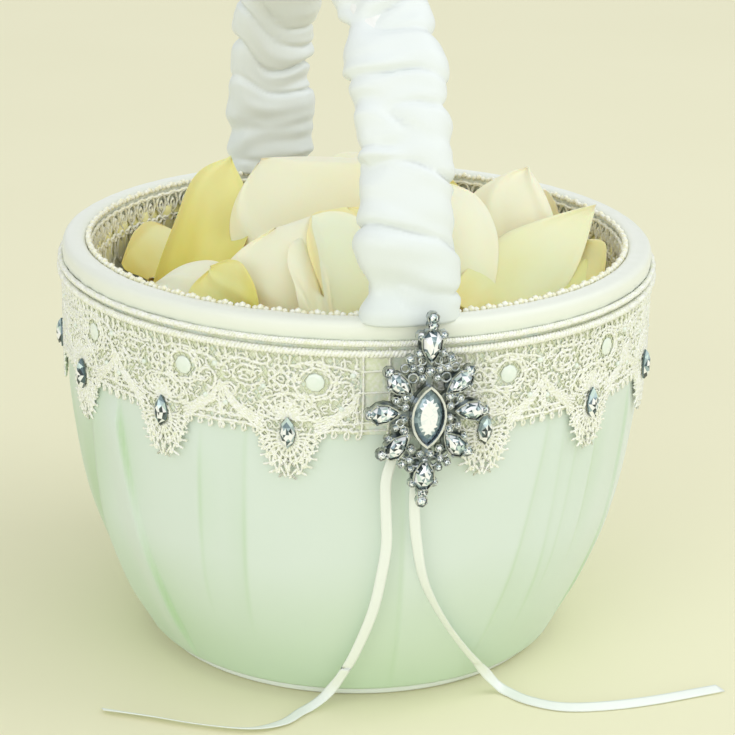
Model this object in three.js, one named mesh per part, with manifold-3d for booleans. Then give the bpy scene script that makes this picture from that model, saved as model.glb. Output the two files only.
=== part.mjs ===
// Flower girl basket: a round satin covered bowl with a padded hoop handle, a rolled rim,
// lace and crystals round the outside, a jewelled brooch with two ribbon tails, and petals.
// Millimetres, +Z up. The origin is the centre of the base board's underside.
// The handle hoop stands in a plane parallel to YZ; its front foot and the brooch face -Y.
import * as THREE from 'three';
import { mergeVertices } from 'three/addons/utils/BufferGeometryUtils.js';
import Module from 'manifold-3d';

const wasm = await Module();
wasm.setup();

// ---------- driving dimensions ----------
const GAP = 0.3;                  // clearance between touching pieces
const ROUND = 36;                 // facets round the bowl's rings

const BOARD_RADIUS = 61.8;        // satin covered disc under the bowl
const BOARD_THICK = 3;
const BOWL_BOTTOM = BOARD_THICK + GAP;
const WALL_TOP = 117.2;           // the cover and the lining end under the rolled rim
// outside of the satin cover, [radius, height]
const BOWL_SIDE = [
  [64.5, BOWL_BOTTOM], [68.4, 12], [74.7, 26], [80.9, 44], [84.8, 66], [87.1, 90], [87.5, WALL_TOP],
];
const COVER_THICK = 0.6;
const SHELL_INSET = COVER_THICK + GAP;
const SHELL_THICK = 1.2;
const SHELL_TOP = 119;
const LINING_INSET = 5.7;         // leaves a channel for the ends of the handle band
const LINING_THICK = 0.7;
const UNDER_LAP = 12;             // how far the cover turns in under the bowl

const ROLL_INNER = 81;            // rolled rim of satin over a cotton filler cord
const ROLL_OUTER = 88.6;
const ROLL_BOTTOM = 118;
const ROLL_TOP = 124;
const ROLL_CORNER = 2.5;
const ROLL_WALL = 1;
const FILLER_RADIUS = 1.1;
const FILLER_RING = 86.25;
const FILLER_HEIGHT = 121;

const GIMP = { inner: 79.6, outer: 80.6, bottom: 104, top: 122.8 };
const LACE = { inner: 87.8, outer: 88.8, valley: 91, tip: 80.5, top: 112.8 };
const LEAF_HALF_ANGLE = 5;        // degrees from a leaf's tip to the foot of its side
const LACE_FACETS = 72;
const HEADER = { inner: 87.9, outer: 89.5, bottom: 113.1, top: 116.9, groove: 0.4, corner: 0.3 };

const CRYSTALS = 14;
const CRYSTAL_STEP = 25;          // degrees; the lace ends meet in the wider space left over
const FIRST_CRYSTAL = 8.3;        // degrees from -Y towards +X
const CRYSTAL_Z = 92;
const CRYSTAL_LENGTH = 9;
const CRYSTAL_WIDTH = 4.3;
const STONE = { thick: 2, chamfer: 0.9 };   // the crystals and the brooch's pears
const CRYSTAL_BACK = LACE.outer + GAP;

const HOOP_X = -7.8;              // the handle's feet stand a little to one side of the centre
const HOOP_HALF_SPAN = 83.2;
const HOOP_SPRING_Z = 126;        // above this height the legs bend into the arch
const HOOP_RISE = 105;
const HOOP_LEAN = Math.tan(THREE.MathUtils.degToRad(5));
const BAND_WIDTH = 11;
const BAND_THICK = 0.9;
const BAND_END_Z = 96;
const BAND_ROOM = 0.8;            // how much wider its slots in the rim and the batting are
const BAND_SLOT_DEPTH = 10;
const SLEEVE_FOOT_Z = ROLL_TOP + GAP;
const SLEEVE_WIDTH = 25;
const SLEEVE_THICK = 11;
const SLEEVE_WALL = 1.3;
const RIVET_HEIGHTS = [103, 112];
const RIVET_RADIUS = 1.1;
const RIVET_HEAD_RADIUS = 2.4;
const RIVET_HEAD_THICK = 0.4;
const RIVET_START = 82.05;
const RIVET_END = 85.7;
const RIVET_SIDES = 10;
const RIVET_DRILL = 12;           // length of the drill, longer than the wall is thick

const BROOCH = { x: -5.4, y: -92.2, z: 99.5, plate: 1.5, tilt: 2 };
// the frame's plates lie under the stones; its ring, arms and small discs join them
const FRAME = {
  ringWidth: 19.6, ringHeight: 27.4, ringThick: 1.5, rim: 0.4, arm: 1.6, tipArm: 1.2, tip: 1.5,
};
const SEAT = { width: 10, length: 18 };
const BEZEL = { width: 9.8, length: 17.6, innerWidth: 8.6, innerLength: 16.2, height: 2.2 };
const CENTRE_STONE = { width: 8, length: 15.4, thick: 2.4, chamfer: 1 };
const PIN_RADIUS = 0.4;
const PIN_Y = -91.2;
const PIN_SPAN = 22;
const PIN_BLOCK = { width: 2.6, depth: 1.5, height: 3.2, fromEnd: 2 };
const PIN_BLOCK_Y = -91.15;       // clear of the frame's back and of the lace's cords

const RIBBON_TUBE_RADIUS = 0.8;
const RIBBON_STEPS = 48;
// outside of the heap of petals, [radius, height], and the notches that clear the handle's legs
const HEAP_SIDE = [
  [0, 62], [73.5, 62], [75.5, 78], [75.5, 112], [66, 124], [50, 133], [28, 140.5], [0, 144],
];
const NOTCH = { halfWidth: 14.5, reach: 44, depth: 60, height: 120, middle: 100 };

// ---------- colours ----------
const COLOUR = {
  satin: '#dde8dc', board: '#e6ebe2', shell: '#d8d2c0', lining: '#dfe6c4', roll: '#e8eeeb',
  cotton: '#f2efe6', lace: '#eceed2', gimp: '#e9eac6', handle: '#f1f5f2', batting: '#f7f6f2',
  band: '#e3e1da', steel: '#b9bcbf', silver: '#a8adb0', crystal: '#cfd8dc', ribbon: '#eef3ea',
  petal: '#efe8c2',
};

// ---------- helpers ----------
const basket = new THREE.Group();

function addMesh(name, geometry, colour, roughness = 0.7, metalness = 0) {
  const material = new THREE.MeshStandardMaterial({ color: colour, roughness, metalness });
  const mesh = new THREE.Mesh(geometry, material);
  mesh.name = name;
  basket.add(mesh);
  return mesh;
}

// Revolves a closed or axis-to-axis outline of [radius, height] pairs about +Z.
function revolve(outline, facets = ROUND, closed = true) {
  const points = outline.map(([radius, height]) => new THREE.Vector2(radius, height));
  if (THREE.ShapeUtils.isClockWise(points)) points.reverse();
  if (closed) points.push(points[0].clone());
  const phase = THREE.MathUtils.degToRad(FIRST_CRYSTAL);
  return new THREE.LatheGeometry(points, facets, phase).rotateX(Math.PI / 2);
}

function toSolid(geometry) {
  const bare = geometry.clone();
  bare.deleteAttribute('normal');
  bare.deleteAttribute('uv');
  const merged = mergeVertices(bare.index ? bare.toNonIndexed() : bare, 1e-4);
  return new wasm.Manifold(new wasm.Mesh({
    numProp: 3,
    vertProperties: new Float32Array(merged.attributes.position.array),
    triVerts: new Uint32Array(merged.index.array),
  }));
}

function toGeometry(solid) {
  const mesh = solid.getMesh();
  const geometry = new THREE.BufferGeometry();
  geometry.setAttribute('position', new THREE.BufferAttribute(mesh.vertProperties, 3));
  geometry.setIndex(new THREE.BufferAttribute(mesh.triVerts, 1));
  geometry.computeVertexNormals();
  return geometry;
}

function cut(geometry, tools) {
  const solid = tools.reduce((left, tool) => left.subtract(toSolid(tool)), toSolid(geometry));
  return toGeometry(solid);
}

function join(geometries) {
  return toGeometry(geometries.map(toSolid).reduce((sum, solid) => sum.add(solid)));
}

function rectangle(width, height) {
  const shape = new THREE.Shape();
  shape.moveTo(-width / 2, -height / 2);
  shape.lineTo(width / 2, -height / 2);
  shape.lineTo(width / 2, height / 2);
  shape.lineTo(-width / 2, height / 2);
  shape.closePath();
  return shape;
}

function oval(width, height, sides, Kind = THREE.Shape) {
  const points = [];
  for (let i = 0; i < sides; i += 1) {
    const angle = (2 * Math.PI * i) / sides;
    points.push(new THREE.Vector2((width / 2) * Math.cos(angle), (height / 2) * Math.sin(angle)));
  }
  return new Kind(points);
}

// A navette: two equal arcs that meet in points at the top and the bottom.
function navette(width, length, Kind = THREE.Shape) {
  const radius = (width * width + length * length) / (4 * width);
  const half = Math.asin(length / 2 / radius);
  const shape = new Kind();
  shape.absarc(width / 2 - radius, 0, radius, -half, half, false);
  shape.absarc(radius - width / 2, 0, radius, Math.PI - half, Math.PI + half, false);
  return shape;
}

// A pear: a round end at the bottom and a point at the top.
function pear(width, length) {
  const round = width / 2;
  const centre = -length / 2 + round;
  const shape = new THREE.Shape();
  shape.moveTo(0, length / 2);
  shape.quadraticCurveTo(-round, length * 0.18, -round, centre);
  shape.absarc(0, centre, round, Math.PI, 2 * Math.PI, false);
  shape.quadraticCurveTo(round, length * 0.18, 0, length / 2);
  return shape;
}

function plate(shape, thick, segments = 3) {
  return new THREE.ExtrudeGeometry(shape, { depth: thick, bevelEnabled: false, curveSegments: segments });
}

// A cut stone: a girdle with a chamfer above it that stands for the facets.
function stone(shape, thick, chamfer) {
  return new THREE.ExtrudeGeometry(shape, {
    depth: thick - chamfer, curveSegments: 3, bevelEnabled: true, bevelThickness: chamfer / 2,
    bevelSize: chamfer / 2, bevelOffset: -chamfer / 2, bevelSegments: 1,
  }).translate(0, 0, chamfer / 2);
}

// ---------- bowl: base board, shell, cover, lining ----------
function inset(side, amount) {
  return side.map(([radius, height]) => [radius - amount, height]);
}

function makeBaseBoard() {
  const board = new THREE.CylinderGeometry(BOARD_RADIUS, BOARD_RADIUS, BOARD_THICK, ROUND);
  return board.rotateX(Math.PI / 2).translate(0, 0, BOARD_THICK / 2);
}

function makeCover() {
  const outside = BOWL_SIDE;
  const inside = inset(BOWL_SIDE, COVER_THICK).slice(1).reverse();
  const lapEnd = BOWL_SIDE[0][0] - UNDER_LAP;
  const lapTop = BOWL_BOTTOM + COVER_THICK;
  return revolve([...outside, ...inside, [BOWL_SIDE[0][0] - COVER_THICK, lapTop], [lapEnd, lapTop],
    [lapEnd, BOWL_BOTTOM]]);
}

const SHELL_FLOOR = BOWL_BOTTOM + COVER_THICK + GAP;
const LINING_FLOOR = SHELL_FLOOR + SHELL_THICK + GAP;

// A cup with a flat floor: its outside follows the bowl's side at the given inset.
function cup(insetOut, thick, floor, top) {
  const side = BOWL_SIDE.slice(1, -1);
  const last = BOWL_SIDE[BOWL_SIDE.length - 1][0];
  const corner = BOWL_SIDE[0][0];
  const outside = [[0, floor], [corner - insetOut, floor], ...inset(side, insetOut), [last - insetOut, top]];
  const within = insetOut + thick;
  const inside = [[last - within, top], ...inset(side, within).reverse(),
    [corner - within, floor + thick], [0, floor + thick]];
  return revolve([...outside, ...inside], ROUND, false);
}

function rivetPlaces() {
  const places = [];
  for (const foot of [-1, 1]) {
    for (const height of RIVET_HEIGHTS) places.push({ foot, height });
  }
  return places;
}

function rivetHole({ foot, height }) {
  const drill = new THREE.CylinderGeometry(RIVET_RADIUS + GAP, RIVET_RADIUS + GAP, RIVET_DRILL, RIVET_SIDES);
  return drill.translate(HOOP_X, foot * HOOP_HALF_SPAN, height);
}

function makeRivet({ foot, height }) {
  const neck = RIVET_HEAD_THICK;
  const outline = [[0, 0], [RIVET_HEAD_RADIUS, 0], [RIVET_HEAD_RADIUS, neck], [RIVET_RADIUS, neck],
    [RIVET_RADIUS, RIVET_END - RIVET_START], [0, RIVET_END - RIVET_START]];
  const rivet = revolve(outline, RIVET_SIDES, false);
  rivet.rotateX(foot < 0 ? Math.PI / 2 : -Math.PI / 2);
  return rivet.translate(HOOP_X, foot * RIVET_START, height);
}

addMesh('base_board', makeBaseBoard(), COLOUR.board, 0.6);
addMesh('bowl_cover', makeCover(), COLOUR.satin, 0.45);
const plainShell = cup(SHELL_INSET, SHELL_THICK, SHELL_FLOOR, SHELL_TOP);
addMesh('bowl_shell', cut(plainShell, rivetPlaces().map(rivetHole)), COLOUR.shell, 0.8);
addMesh('bowl_lining', cup(LINING_INSET, LINING_THICK, LINING_FLOOR, WALL_TOP), COLOUR.lining, 0.45);

// ---------- rim: satin roll, filler cord, inner gimp braid ----------
// Outline of the roll's section, an arch open downwards; inset 0 is its outside.
function rollArch(wall) {
  const inner = ROLL_INNER + wall;
  const outer = ROLL_OUTER - wall;
  const top = ROLL_TOP - wall;
  const corner = ROLL_CORNER - wall;
  const chamfer = corner * (1 - Math.SQRT1_2);
  return [[inner, ROLL_BOTTOM], [inner, top - corner], [inner + chamfer, top - chamfer],
    [inner + corner, top], [outer - corner, top], [outer - chamfer, top - chamfer],
    [outer, top - corner], [outer, ROLL_BOTTOM]];
}

function makeRoll() {
  const roll = revolve([...rollArch(0), ...rollArch(ROLL_WALL).reverse()]);
  const slots = [-1, 1].map((foot) => new THREE.BoxGeometry(
    BAND_WIDTH + BAND_ROOM, BAND_THICK + BAND_ROOM, BAND_SLOT_DEPTH,
  ).translate(HOOP_X, foot * HOOP_HALF_SPAN, ROLL_TOP));
  return cut(roll, slots);
}

function ringOfSection(ringRadius, ringHeight, sectionRadius, sides, facets) {
  const outline = [];
  for (let i = 0; i < sides; i += 1) {
    const angle = (2 * Math.PI * (i + 0.5)) / sides;
    outline.push([
      ringRadius + sectionRadius * Math.cos(angle), ringHeight + sectionRadius * Math.sin(angle),
    ]);
  }
  return revolve(outline, facets);
}

function flatRing({ inner, outer, bottom, top }, facets = ROUND) {
  return revolve([[inner, bottom], [outer, bottom], [outer, top], [inner, top]], facets);
}

addMesh('rim_roll', makeRoll(), COLOUR.roll, 0.5);
const fillerCord = ringOfSection(FILLER_RING, FILLER_HEIGHT, FILLER_RADIUS, 6, ROUND);
addMesh('rim_filler_cord', fillerCord, COLOUR.cotton, 0.9);
addMesh('inner_gimp_braid', flatRing(GIMP), COLOUR.gimp, 0.8);

// ---------- lace band with its pointed leaves, header cord and crystals ----------
function crystalAngles() {
  return Array.from({ length: CRYSTALS }, (_, i) => FIRST_CRYSTAL + CRYSTAL_STEP * i);
}

// Height of the lace's lower edge at an angle round the bowl, in degrees.
function laceEdge(angle) {
  let drop = 0;
  for (const tip of crystalAngles()) {
    const away = Math.abs(((angle - tip + 540) % 360) - 180);
    drop = Math.max(drop, 1 - away / LEAF_HALF_ANGLE);
  }
  return LACE.valley - drop * (LACE.valley - LACE.tip);
}

function makeLace() {
  const { inner, outer, valley, top } = LACE;
  const lace = flatRing({ inner, outer, bottom: valley, top }, LACE_FACETS);
  const place = lace.attributes.position;
  for (let i = 0; i < place.count; i += 1) {
    if (place.getZ(i) < valley + GAP) {
      const angle = THREE.MathUtils.radToDeg(Math.atan2(place.getX(i), -place.getY(i)));
      place.setZ(i, laceEdge(angle));
    }
  }
  return lace;
}

function makeHeader() {
  const { inner, outer, bottom, top, groove, corner } = HEADER;
  const middle = (bottom + top) / 2;
  return revolve([[inner, bottom], [outer - corner, bottom], [outer, (bottom + middle) / 2],
    [outer - groove, middle], [outer, (top + middle) / 2], [outer - corner, top], [inner, top]]);
}

function makeCrystal(angle) {
  const crystal = stone(navette(CRYSTAL_WIDTH, CRYSTAL_LENGTH), STONE.thick, STONE.chamfer);
  return crystal.rotateX(Math.PI / 2).translate(0, -CRYSTAL_BACK, CRYSTAL_Z)
    .rotateZ(THREE.MathUtils.degToRad(angle));
}

addMesh('lace_band', makeLace(), COLOUR.lace, 0.8);
addMesh('lace_header_cord', makeHeader(), COLOUR.lace, 0.6);
crystalAngles().forEach((angle, i) => {
  const name = `lace_crystal_${String(i + 1).padStart(2, '0')}`;
  addMesh(name, makeCrystal(angle), COLOUR.crystal, 0.1);
});

// ---------- handle: flat plastic band, batting, shirred sleeve, rivets ----------
// The hoop's centre line: two straight feet and half an ellipse that leans a little to +Y.
class HoopPath extends THREE.Curve {
  constructor(footHeight) {
    super();
    this.footHeight = footHeight;
    this.leg = HOOP_SPRING_Z - footHeight;
    const arch = (Math.PI * (HOOP_HALF_SPAN + HOOP_RISE)) / 2;
    this.legShare = this.leg / (2 * this.leg + arch);
  }

  getPoint(t, target = new THREE.Vector3()) {
    const side = t < 0.5 ? -1 : 1;
    const along = t < 0.5 ? t : 1 - t;
    let across = HOOP_HALF_SPAN;
    let height = this.footHeight + (this.leg * along) / this.legShare;
    if (along > this.legShare) {
      const angle = ((along - this.legShare) / (0.5 - this.legShare)) * (Math.PI / 2);
      across = HOOP_HALF_SPAN * Math.cos(angle);
      height = HOOP_SPRING_Z + HOOP_RISE * Math.sin(angle);
    }
    const lean = HOOP_LEAN * Math.max(0, height - HOOP_SPRING_Z);
    return target.set(HOOP_X, side * across + lean, height);
  }
}

// Sweeps a section along the hoop: the section's X lies across the hoop's thickness, Y its width.
function alongHoop(shape, footHeight, steps) {
  return new THREE.ExtrudeGeometry(shape, {
    steps, bevelEnabled: false, extrudePath: new HoopPath(footHeight), curveSegments: 4,
  });
}

function makeBand() {
  const band = alongHoop(rectangle(BAND_THICK, BAND_WIDTH), BAND_END_Z, 34);
  return cut(band, rivetPlaces().map(rivetHole));
}

function makePadding() {
  const shell = 2 * (SLEEVE_WALL + GAP);
  const section = oval(SLEEVE_THICK - shell, SLEEVE_WIDTH - shell, 12);
  section.holes.push(new THREE.Path(rectangle(BAND_THICK + BAND_ROOM, BAND_WIDTH + BAND_ROOM).getPoints()));
  return alongHoop(section, SLEEVE_FOOT_Z, 28);
}

function makeSleeve() {
  const section = oval(SLEEVE_THICK, SLEEVE_WIDTH, 14);
  section.holes.push(oval(SLEEVE_THICK - 2 * SLEEVE_WALL, SLEEVE_WIDTH - 2 * SLEEVE_WALL, 14, THREE.Path));
  return alongHoop(section, SLEEVE_FOOT_Z, 28);
}

addMesh('handle_band', makeBand(), COLOUR.band, 0.5);
addMesh('handle_padding', makePadding(), COLOUR.batting, 0.9);
addMesh('handle_sleeve', makeSleeve(), COLOUR.handle, 0.45);
rivetPlaces().forEach((place, i) => {
  addMesh(`handle_rivet_${i + 1}`, makeRivet(place), COLOUR.steel, 0.35, 1);
});

// ---------- brooch: openwork frame, bezel, stones and its pin ----------
// Each pear stone: its centre, the turn of its round end away from the middle, and its size.
const PEARS = [
  { name: 'top', x: 0, y: 19.6, turn: 180, width: 6, length: 8.4 },
  { name: 'upper_right', x: 8.3, y: 9, turn: 128, width: 5.2, length: 7.6 },
  { name: 'right', x: 11.9, y: 1, turn: 88, width: 5.4, length: 7.2 },
  { name: 'lower_right', x: 8, y: -8.3, turn: 42, width: 5.4, length: 7.6 },
  { name: 'bottom', x: 0, y: -16.8, turn: 0, width: 6, length: 8 },
  { name: 'lower_left', x: -8, y: -8.3, turn: -42, width: 5.4, length: 7.6 },
  { name: 'left', x: -11.9, y: 1, turn: -88, width: 5.4, length: 7.2 },
  { name: 'upper_left', x: -8.3, y: 9, turn: -128, width: 5.2, length: 7.6 },
];
const TIPS = [[0, 24.9], [0, 27.2], [11.1, 12.3], [15.8, 0.9], [11.9, -10.7], [0, -22], [0, -24.6],
  [-11.9, -10.7], [-15.8, 0.9], [-11.1, 12.3]];

function disc(x, y, radius, thick = BROOCH.plate) {
  return plate(oval(2 * radius, 2 * radius, 10), thick).translate(x, y, 0);
}

function bar(x1, y1, x2, y2, width) {
  const length = Math.hypot(x2 - x1, y2 - y1);
  const angle = Math.atan2(y2 - y1, x2 - x1);
  return new THREE.BoxGeometry(length, width, BROOCH.plate).rotateZ(angle)
    .translate((x1 + x2) / 2, (y1 + y2) / 2, BROOCH.plate / 2);
}

// Sets a piece made flat in the brooch's own plane onto the front of the bowl.
function onBrooch(geometry) {
  return geometry.rotateZ(-THREE.MathUtils.degToRad(BROOCH.tilt)).rotateX(Math.PI / 2)
    .translate(BROOCH.x, BROOCH.y, BROOCH.z);
}

function makeFrame() {
  const { ringWidth, ringHeight, ringThick, rim, arm, tipArm, tip } = FRAME;
  const ring = oval(ringWidth, ringHeight, 20);
  ring.holes.push(oval(ringWidth - 2 * ringThick, ringHeight - 2 * ringThick, 20, THREE.Path));
  const seat = navette(SEAT.width, SEAT.length);
  const pieces = [plate(seat, BROOCH.plate, 5), plate(ring, BROOCH.plate)];
  for (const { x, y, turn, width, length } of PEARS) {
    pieces.push(plate(oval(width + 2 * rim, length + 2 * rim, 12), BROOCH.plate)
      .rotateZ(THREE.MathUtils.degToRad(turn)).translate(x, y, 0));
    pieces.push(bar(0, 0, x, y, arm));
  }
  for (const [x, y] of TIPS) {
    pieces.push(disc(x, y, tip));
    pieces.push(bar(x * 0.8, y * 0.8, x, y, tipArm));
  }
  return onBrooch(join(pieces));
}

function makeBezel() {
  const rim = navette(BEZEL.width, BEZEL.length);
  rim.holes.push(navette(BEZEL.innerWidth, BEZEL.innerLength, THREE.Path));
  return onBrooch(plate(rim, BEZEL.height, 5).translate(0, 0, BROOCH.plate + GAP));
}

function makeCentreStone() {
  const { width, length, thick, chamfer } = CENTRE_STONE;
  return onBrooch(stone(navette(width, length), thick, chamfer).translate(0, 0, BROOCH.plate + GAP));
}

function makePear({ x, y, turn, width, length }) {
  const cutStone = stone(pear(width, length), STONE.thick, STONE.chamfer);
  cutStone.rotateZ(THREE.MathUtils.degToRad(turn)).translate(x, y, BROOCH.plate + GAP);
  return onBrooch(cutStone);
}

function makePinStem() {
  const stem = new THREE.CylinderGeometry(PIN_RADIUS, PIN_RADIUS, PIN_SPAN, 8).rotateZ(Math.PI / 2);
  return stem.translate(BROOCH.x, PIN_Y, BROOCH.z);
}

// A small block on the frame's back, bored for the pin stem.
function makePinBlock(side) {
  const { width, depth, height, fromEnd } = PIN_BLOCK;
  const across = BROOCH.x + side * (PIN_SPAN / 2 - fromEnd);
  const block = new THREE.BoxGeometry(width, depth, height).translate(across, PIN_BLOCK_Y, BROOCH.z);
  const reach = PIN_RADIUS + GAP / 2;
  const bore = new THREE.CylinderGeometry(reach, reach, 2 * width, 10).rotateZ(Math.PI / 2);
  return cut(block, [bore.translate(across, PIN_Y, BROOCH.z)]);
}

addMesh('brooch_frame', makeFrame(), COLOUR.silver, 0.3, 1);
addMesh('brooch_bezel', makeBezel(), COLOUR.silver, 0.2, 1);
addMesh('brooch_centre_stone', makeCentreStone(), COLOUR.crystal, 0.05);
for (const spec of PEARS) addMesh(`brooch_pear_${spec.name}`, makePear(spec), COLOUR.crystal, 0.08);
addMesh('brooch_pin_stem', makePinStem(), COLOUR.steel, 0.3, 1);
addMesh('brooch_pin_joint', makePinBlock(-1), COLOUR.steel, 0.3, 1);
addMesh('brooch_pin_catch', makePinBlock(1), COLOUR.steel, 0.3, 1);

// ---------- two ribbon tails that hang from behind the brooch and lie on the ground ----------
const RIBBON_LEFT = [
  [-9, -90.6, 94], [-12.5, -90, 88], [-14.8, -89, 80], [-14.4, -88, 70], [-13.6, -86.5, 60],
  [-14.2, -84.6, 50], [-15.6, -80.8, 36.5], [-18.6, -74.2, 21], [-21.6, -69.2, 11],
  [-24.8, -66.6, 4.8], [-28.8, -66.4, 1.6], [-33, -68.4, 0.9], [-39.3, -73.2, 0.9], [-49, -74.4, 0.9],
  [-62.4, -69, 0.9], [-75.6, -60.8, 0.9], [-88.1, -53.6, 0.9],
];
const RIBBON_RIGHT = [
  [-6, -90.4, 86], [-6.6, -89.4, 78], [-6.5, -88.4, 71], [-5.1, -86.8, 60], [-1.8, -84.2, 46.4],
  [5, -79.8, 32.7], [13.6, -73.8, 19.5], [20, -70, 11], [24.6, -67.8, 5], [27.6, -68, 1.7],
  [29.8, -70.6, 0.9], [33.6, -76.4, 0.9], [41.7, -82.4, 0.9], [53.3, -84.8, 0.9], [69.1, -84.8, 0.9],
  [91.9, -82.2, 0.9],
];

function ribbon(route, steps) {
  const path = new THREE.CatmullRomCurve3(route.map(([x, y, z]) => new THREE.Vector3(x, y, z)));
  const section = oval(2 * RIBBON_TUBE_RADIUS, 2 * RIBBON_TUBE_RADIUS, 8);
  return new THREE.ExtrudeGeometry(section, { steps, bevelEnabled: false, extrudePath: path });
}

addMesh('ribbon_tail_left', ribbon(RIBBON_LEFT, RIBBON_STEPS), COLOUR.ribbon, 0.4);
addMesh('ribbon_tail_right', ribbon(RIBBON_RIGHT, RIBBON_STEPS), COLOUR.ribbon, 0.4);

// ---------- loose silk petals: one heap, notched where the handle's legs come down ----------
function makePetalHeap() {
  const { halfWidth, reach, depth, height, middle } = NOTCH;
  const notches = [-1, 1].map((foot) => new THREE.BoxGeometry(2 * halfWidth, depth, height)
    .translate(HOOP_X, foot * (reach + depth / 2), middle));
  return cut(revolve(HEAP_SIDE, ROUND, false), notches);
}

addMesh('petal_heap', makePetalHeap(), COLOUR.petal, 0.7);

export default basket;
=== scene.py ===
import math
import random

import bmesh
import bpy
from mathutils import Matrix, Quaternion, Vector, noise


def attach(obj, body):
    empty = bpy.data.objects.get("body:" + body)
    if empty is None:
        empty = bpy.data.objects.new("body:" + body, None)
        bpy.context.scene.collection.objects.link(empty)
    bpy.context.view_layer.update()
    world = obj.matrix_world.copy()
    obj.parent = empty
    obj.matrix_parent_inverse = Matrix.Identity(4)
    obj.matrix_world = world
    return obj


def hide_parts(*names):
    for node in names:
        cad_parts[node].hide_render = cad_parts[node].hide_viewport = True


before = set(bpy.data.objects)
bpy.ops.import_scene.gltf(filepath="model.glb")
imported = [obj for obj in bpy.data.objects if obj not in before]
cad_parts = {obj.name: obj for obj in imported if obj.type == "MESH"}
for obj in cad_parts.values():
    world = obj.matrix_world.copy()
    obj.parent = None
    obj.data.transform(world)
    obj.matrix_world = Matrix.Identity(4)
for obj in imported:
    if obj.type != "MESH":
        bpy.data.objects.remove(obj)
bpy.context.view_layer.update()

# ---------------------------------------------------------------- camera
# A long lens at table height, a little to the left of the brooch and looking down at the rim.
MM = 0.001
CAMERA_PLACE = Vector((-166.1, -611.4, 302.0)) * MM
CAMERA_AIM = Vector((6.0, 7.0, 77.5)) * MM
CAMERA_LENS = 106.5
CAMERA_ROLL = math.radians(1.16)

camera = bpy.data.objects.new("camera", bpy.data.cameras.new("camera"))
bpy.context.scene.collection.objects.link(camera)
bpy.context.scene.camera = camera
camera.data.lens = CAMERA_LENS
camera.data.clip_start = 0.05
camera.location = CAMERA_PLACE
aim = (CAMERA_AIM - CAMERA_PLACE).to_track_quat("-Z", "Y")
camera.rotation_euler = (aim @ Quaternion((0, 0, 1), CAMERA_ROLL)).to_euler()

# ---------------------------------------------------------------- ribbon tails
# Two lengths of 3 mm double-faced satin ribbon, cut on the slant and caught behind the brooch.
# They hang limp down the front of the bowl and lie half on edge on the table.
RIBBON_WIDTH = 3.0
RIBBON_THICK = 0.22
# route points in mm, and the turn of the ribbon's face about its own line, in degrees
RIBBON_LEFT = [
    (-9, -90.6, 94, 0), (-12.5, -90, 88, 0), (-14.8, -89, 80, 0), (-14.4, -88, 70, 5),
    (-13.6, -86.5, 60, 8), (-14.2, -84.6, 50, 5), (-15.6, -80.8, 36.5, 0), (-18.6, -74.2, 21, -10),
    (-21.6, -69.2, 11, -20), (-24.8, -66.6, 4.8, -25), (-28.8, -66.4, 1.6, -20),
    (-33, -68.4, 0.9, -10), (-39.3, -73.2, 0.9, 0), (-49, -74.4, 0.9, 20), (-62.4, -69, 0.9, 32),
    (-75.6, -60.8, 0.9, 28), (-88.1, -53.6, 0.9, 20),
]
RIBBON_RIGHT = [
    (-6, -90.4, 86, 0), (-6.6, -89.4, 78, 0), (-6.5, -88.4, 71, 5), (-5.1, -86.8, 60, 20),
    (-1.8, -84.2, 46.4, 45), (5, -79.8, 32.7, 62), (13.6, -73.8, 19.5, 62), (20, -70, 11, 55),
    (24.6, -67.8, 5, 45), (27.6, -68, 1.7, 35), (29.8, -70.6, 0.9, 30), (33.6, -76.4, 0.9, 25),
    (41.7, -82.4, 0.9, 28), (53.3, -84.8, 0.9, 32), (69.1, -84.8, 0.9, 28), (91.9, -82.2, 0.9, 20),
]


def lerp(a, b, t):
    return a + (b - a) * t


def smooth_route(points, share):
    """The point a share of the way along a smooth curve through the points, which are tuples."""
    place = min(max(share, 0.0), 1.0) * (len(points) - 1)
    i = min(int(place), len(points) - 2)
    t = place - i
    before, here, there = points[max(i - 1, 0)], points[i], points[i + 1]
    after = points[min(i + 2, len(points) - 1)]
    return tuple(
        b + 0.5 * t * (c - a + t * (2 * a - 5 * b + 4 * c - d + t * (3 * (b - c) + d - a)))
        for a, b, c, d in zip(before, here, there, after)
    )


def even_route(points, steps):
    """Points at even distances along the smooth curve, each with its other values."""
    fine = [smooth_route(points, i / (steps * 8)) for i in range(steps * 8 + 1)]
    gone = [0.0]
    for a, b in zip(fine, fine[1:]):
        gone.append(gone[-1] + (Vector(b[:3]) - Vector(a[:3])).length)
    even, k = [], 0
    for i in range(steps + 1):
        want = gone[-1] * i / steps
        while k < len(gone) - 2 and gone[k + 1] < want:
            k += 1
        t = (want - gone[k]) / max(gone[k + 1] - gone[k], 1e-9)
        even.append(tuple(lerp(a, b, t) for a, b in zip(fine[k], fine[k + 1])))
    return even, gone[-1]


def grid(across, along):
    """A flat sheet of quads with a UV map, from (0, 0) to (1, 1), for a section to shape."""
    bm = bmesh.new()
    bm.loops.layers.uv.verify()
    bmesh.ops.create_grid(bm, x_segments=across, y_segments=along, size=0.5, calc_uvs=True)
    bmesh.ops.translate(bm, verts=bm.verts, vec=(0.5, 0.5, 0))
    return bm


def shape(bm, place):
    """Moves every vertex of a flat sheet to place(u, v)."""
    for vert in bm.verts:
        vert.co = place(vert.co.x, vert.co.y)


def piece(name, bm, body, material, smooth=True):
    """Makes the mesh an object in metres, rides it on its body and gives it its finish."""
    bmesh.ops.scale(bm, verts=bm.verts, vec=(MM, MM, MM))
    mesh = bpy.data.meshes.new(name)
    bm.to_mesh(mesh)
    bm.free()
    for face in mesh.polygons:
        face.use_smooth = smooth
    made = bpy.data.objects.new(name, mesh)
    bpy.context.scene.collection.objects.link(made)
    mesh.materials.append(material)
    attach(made, body)
    return made


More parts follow.
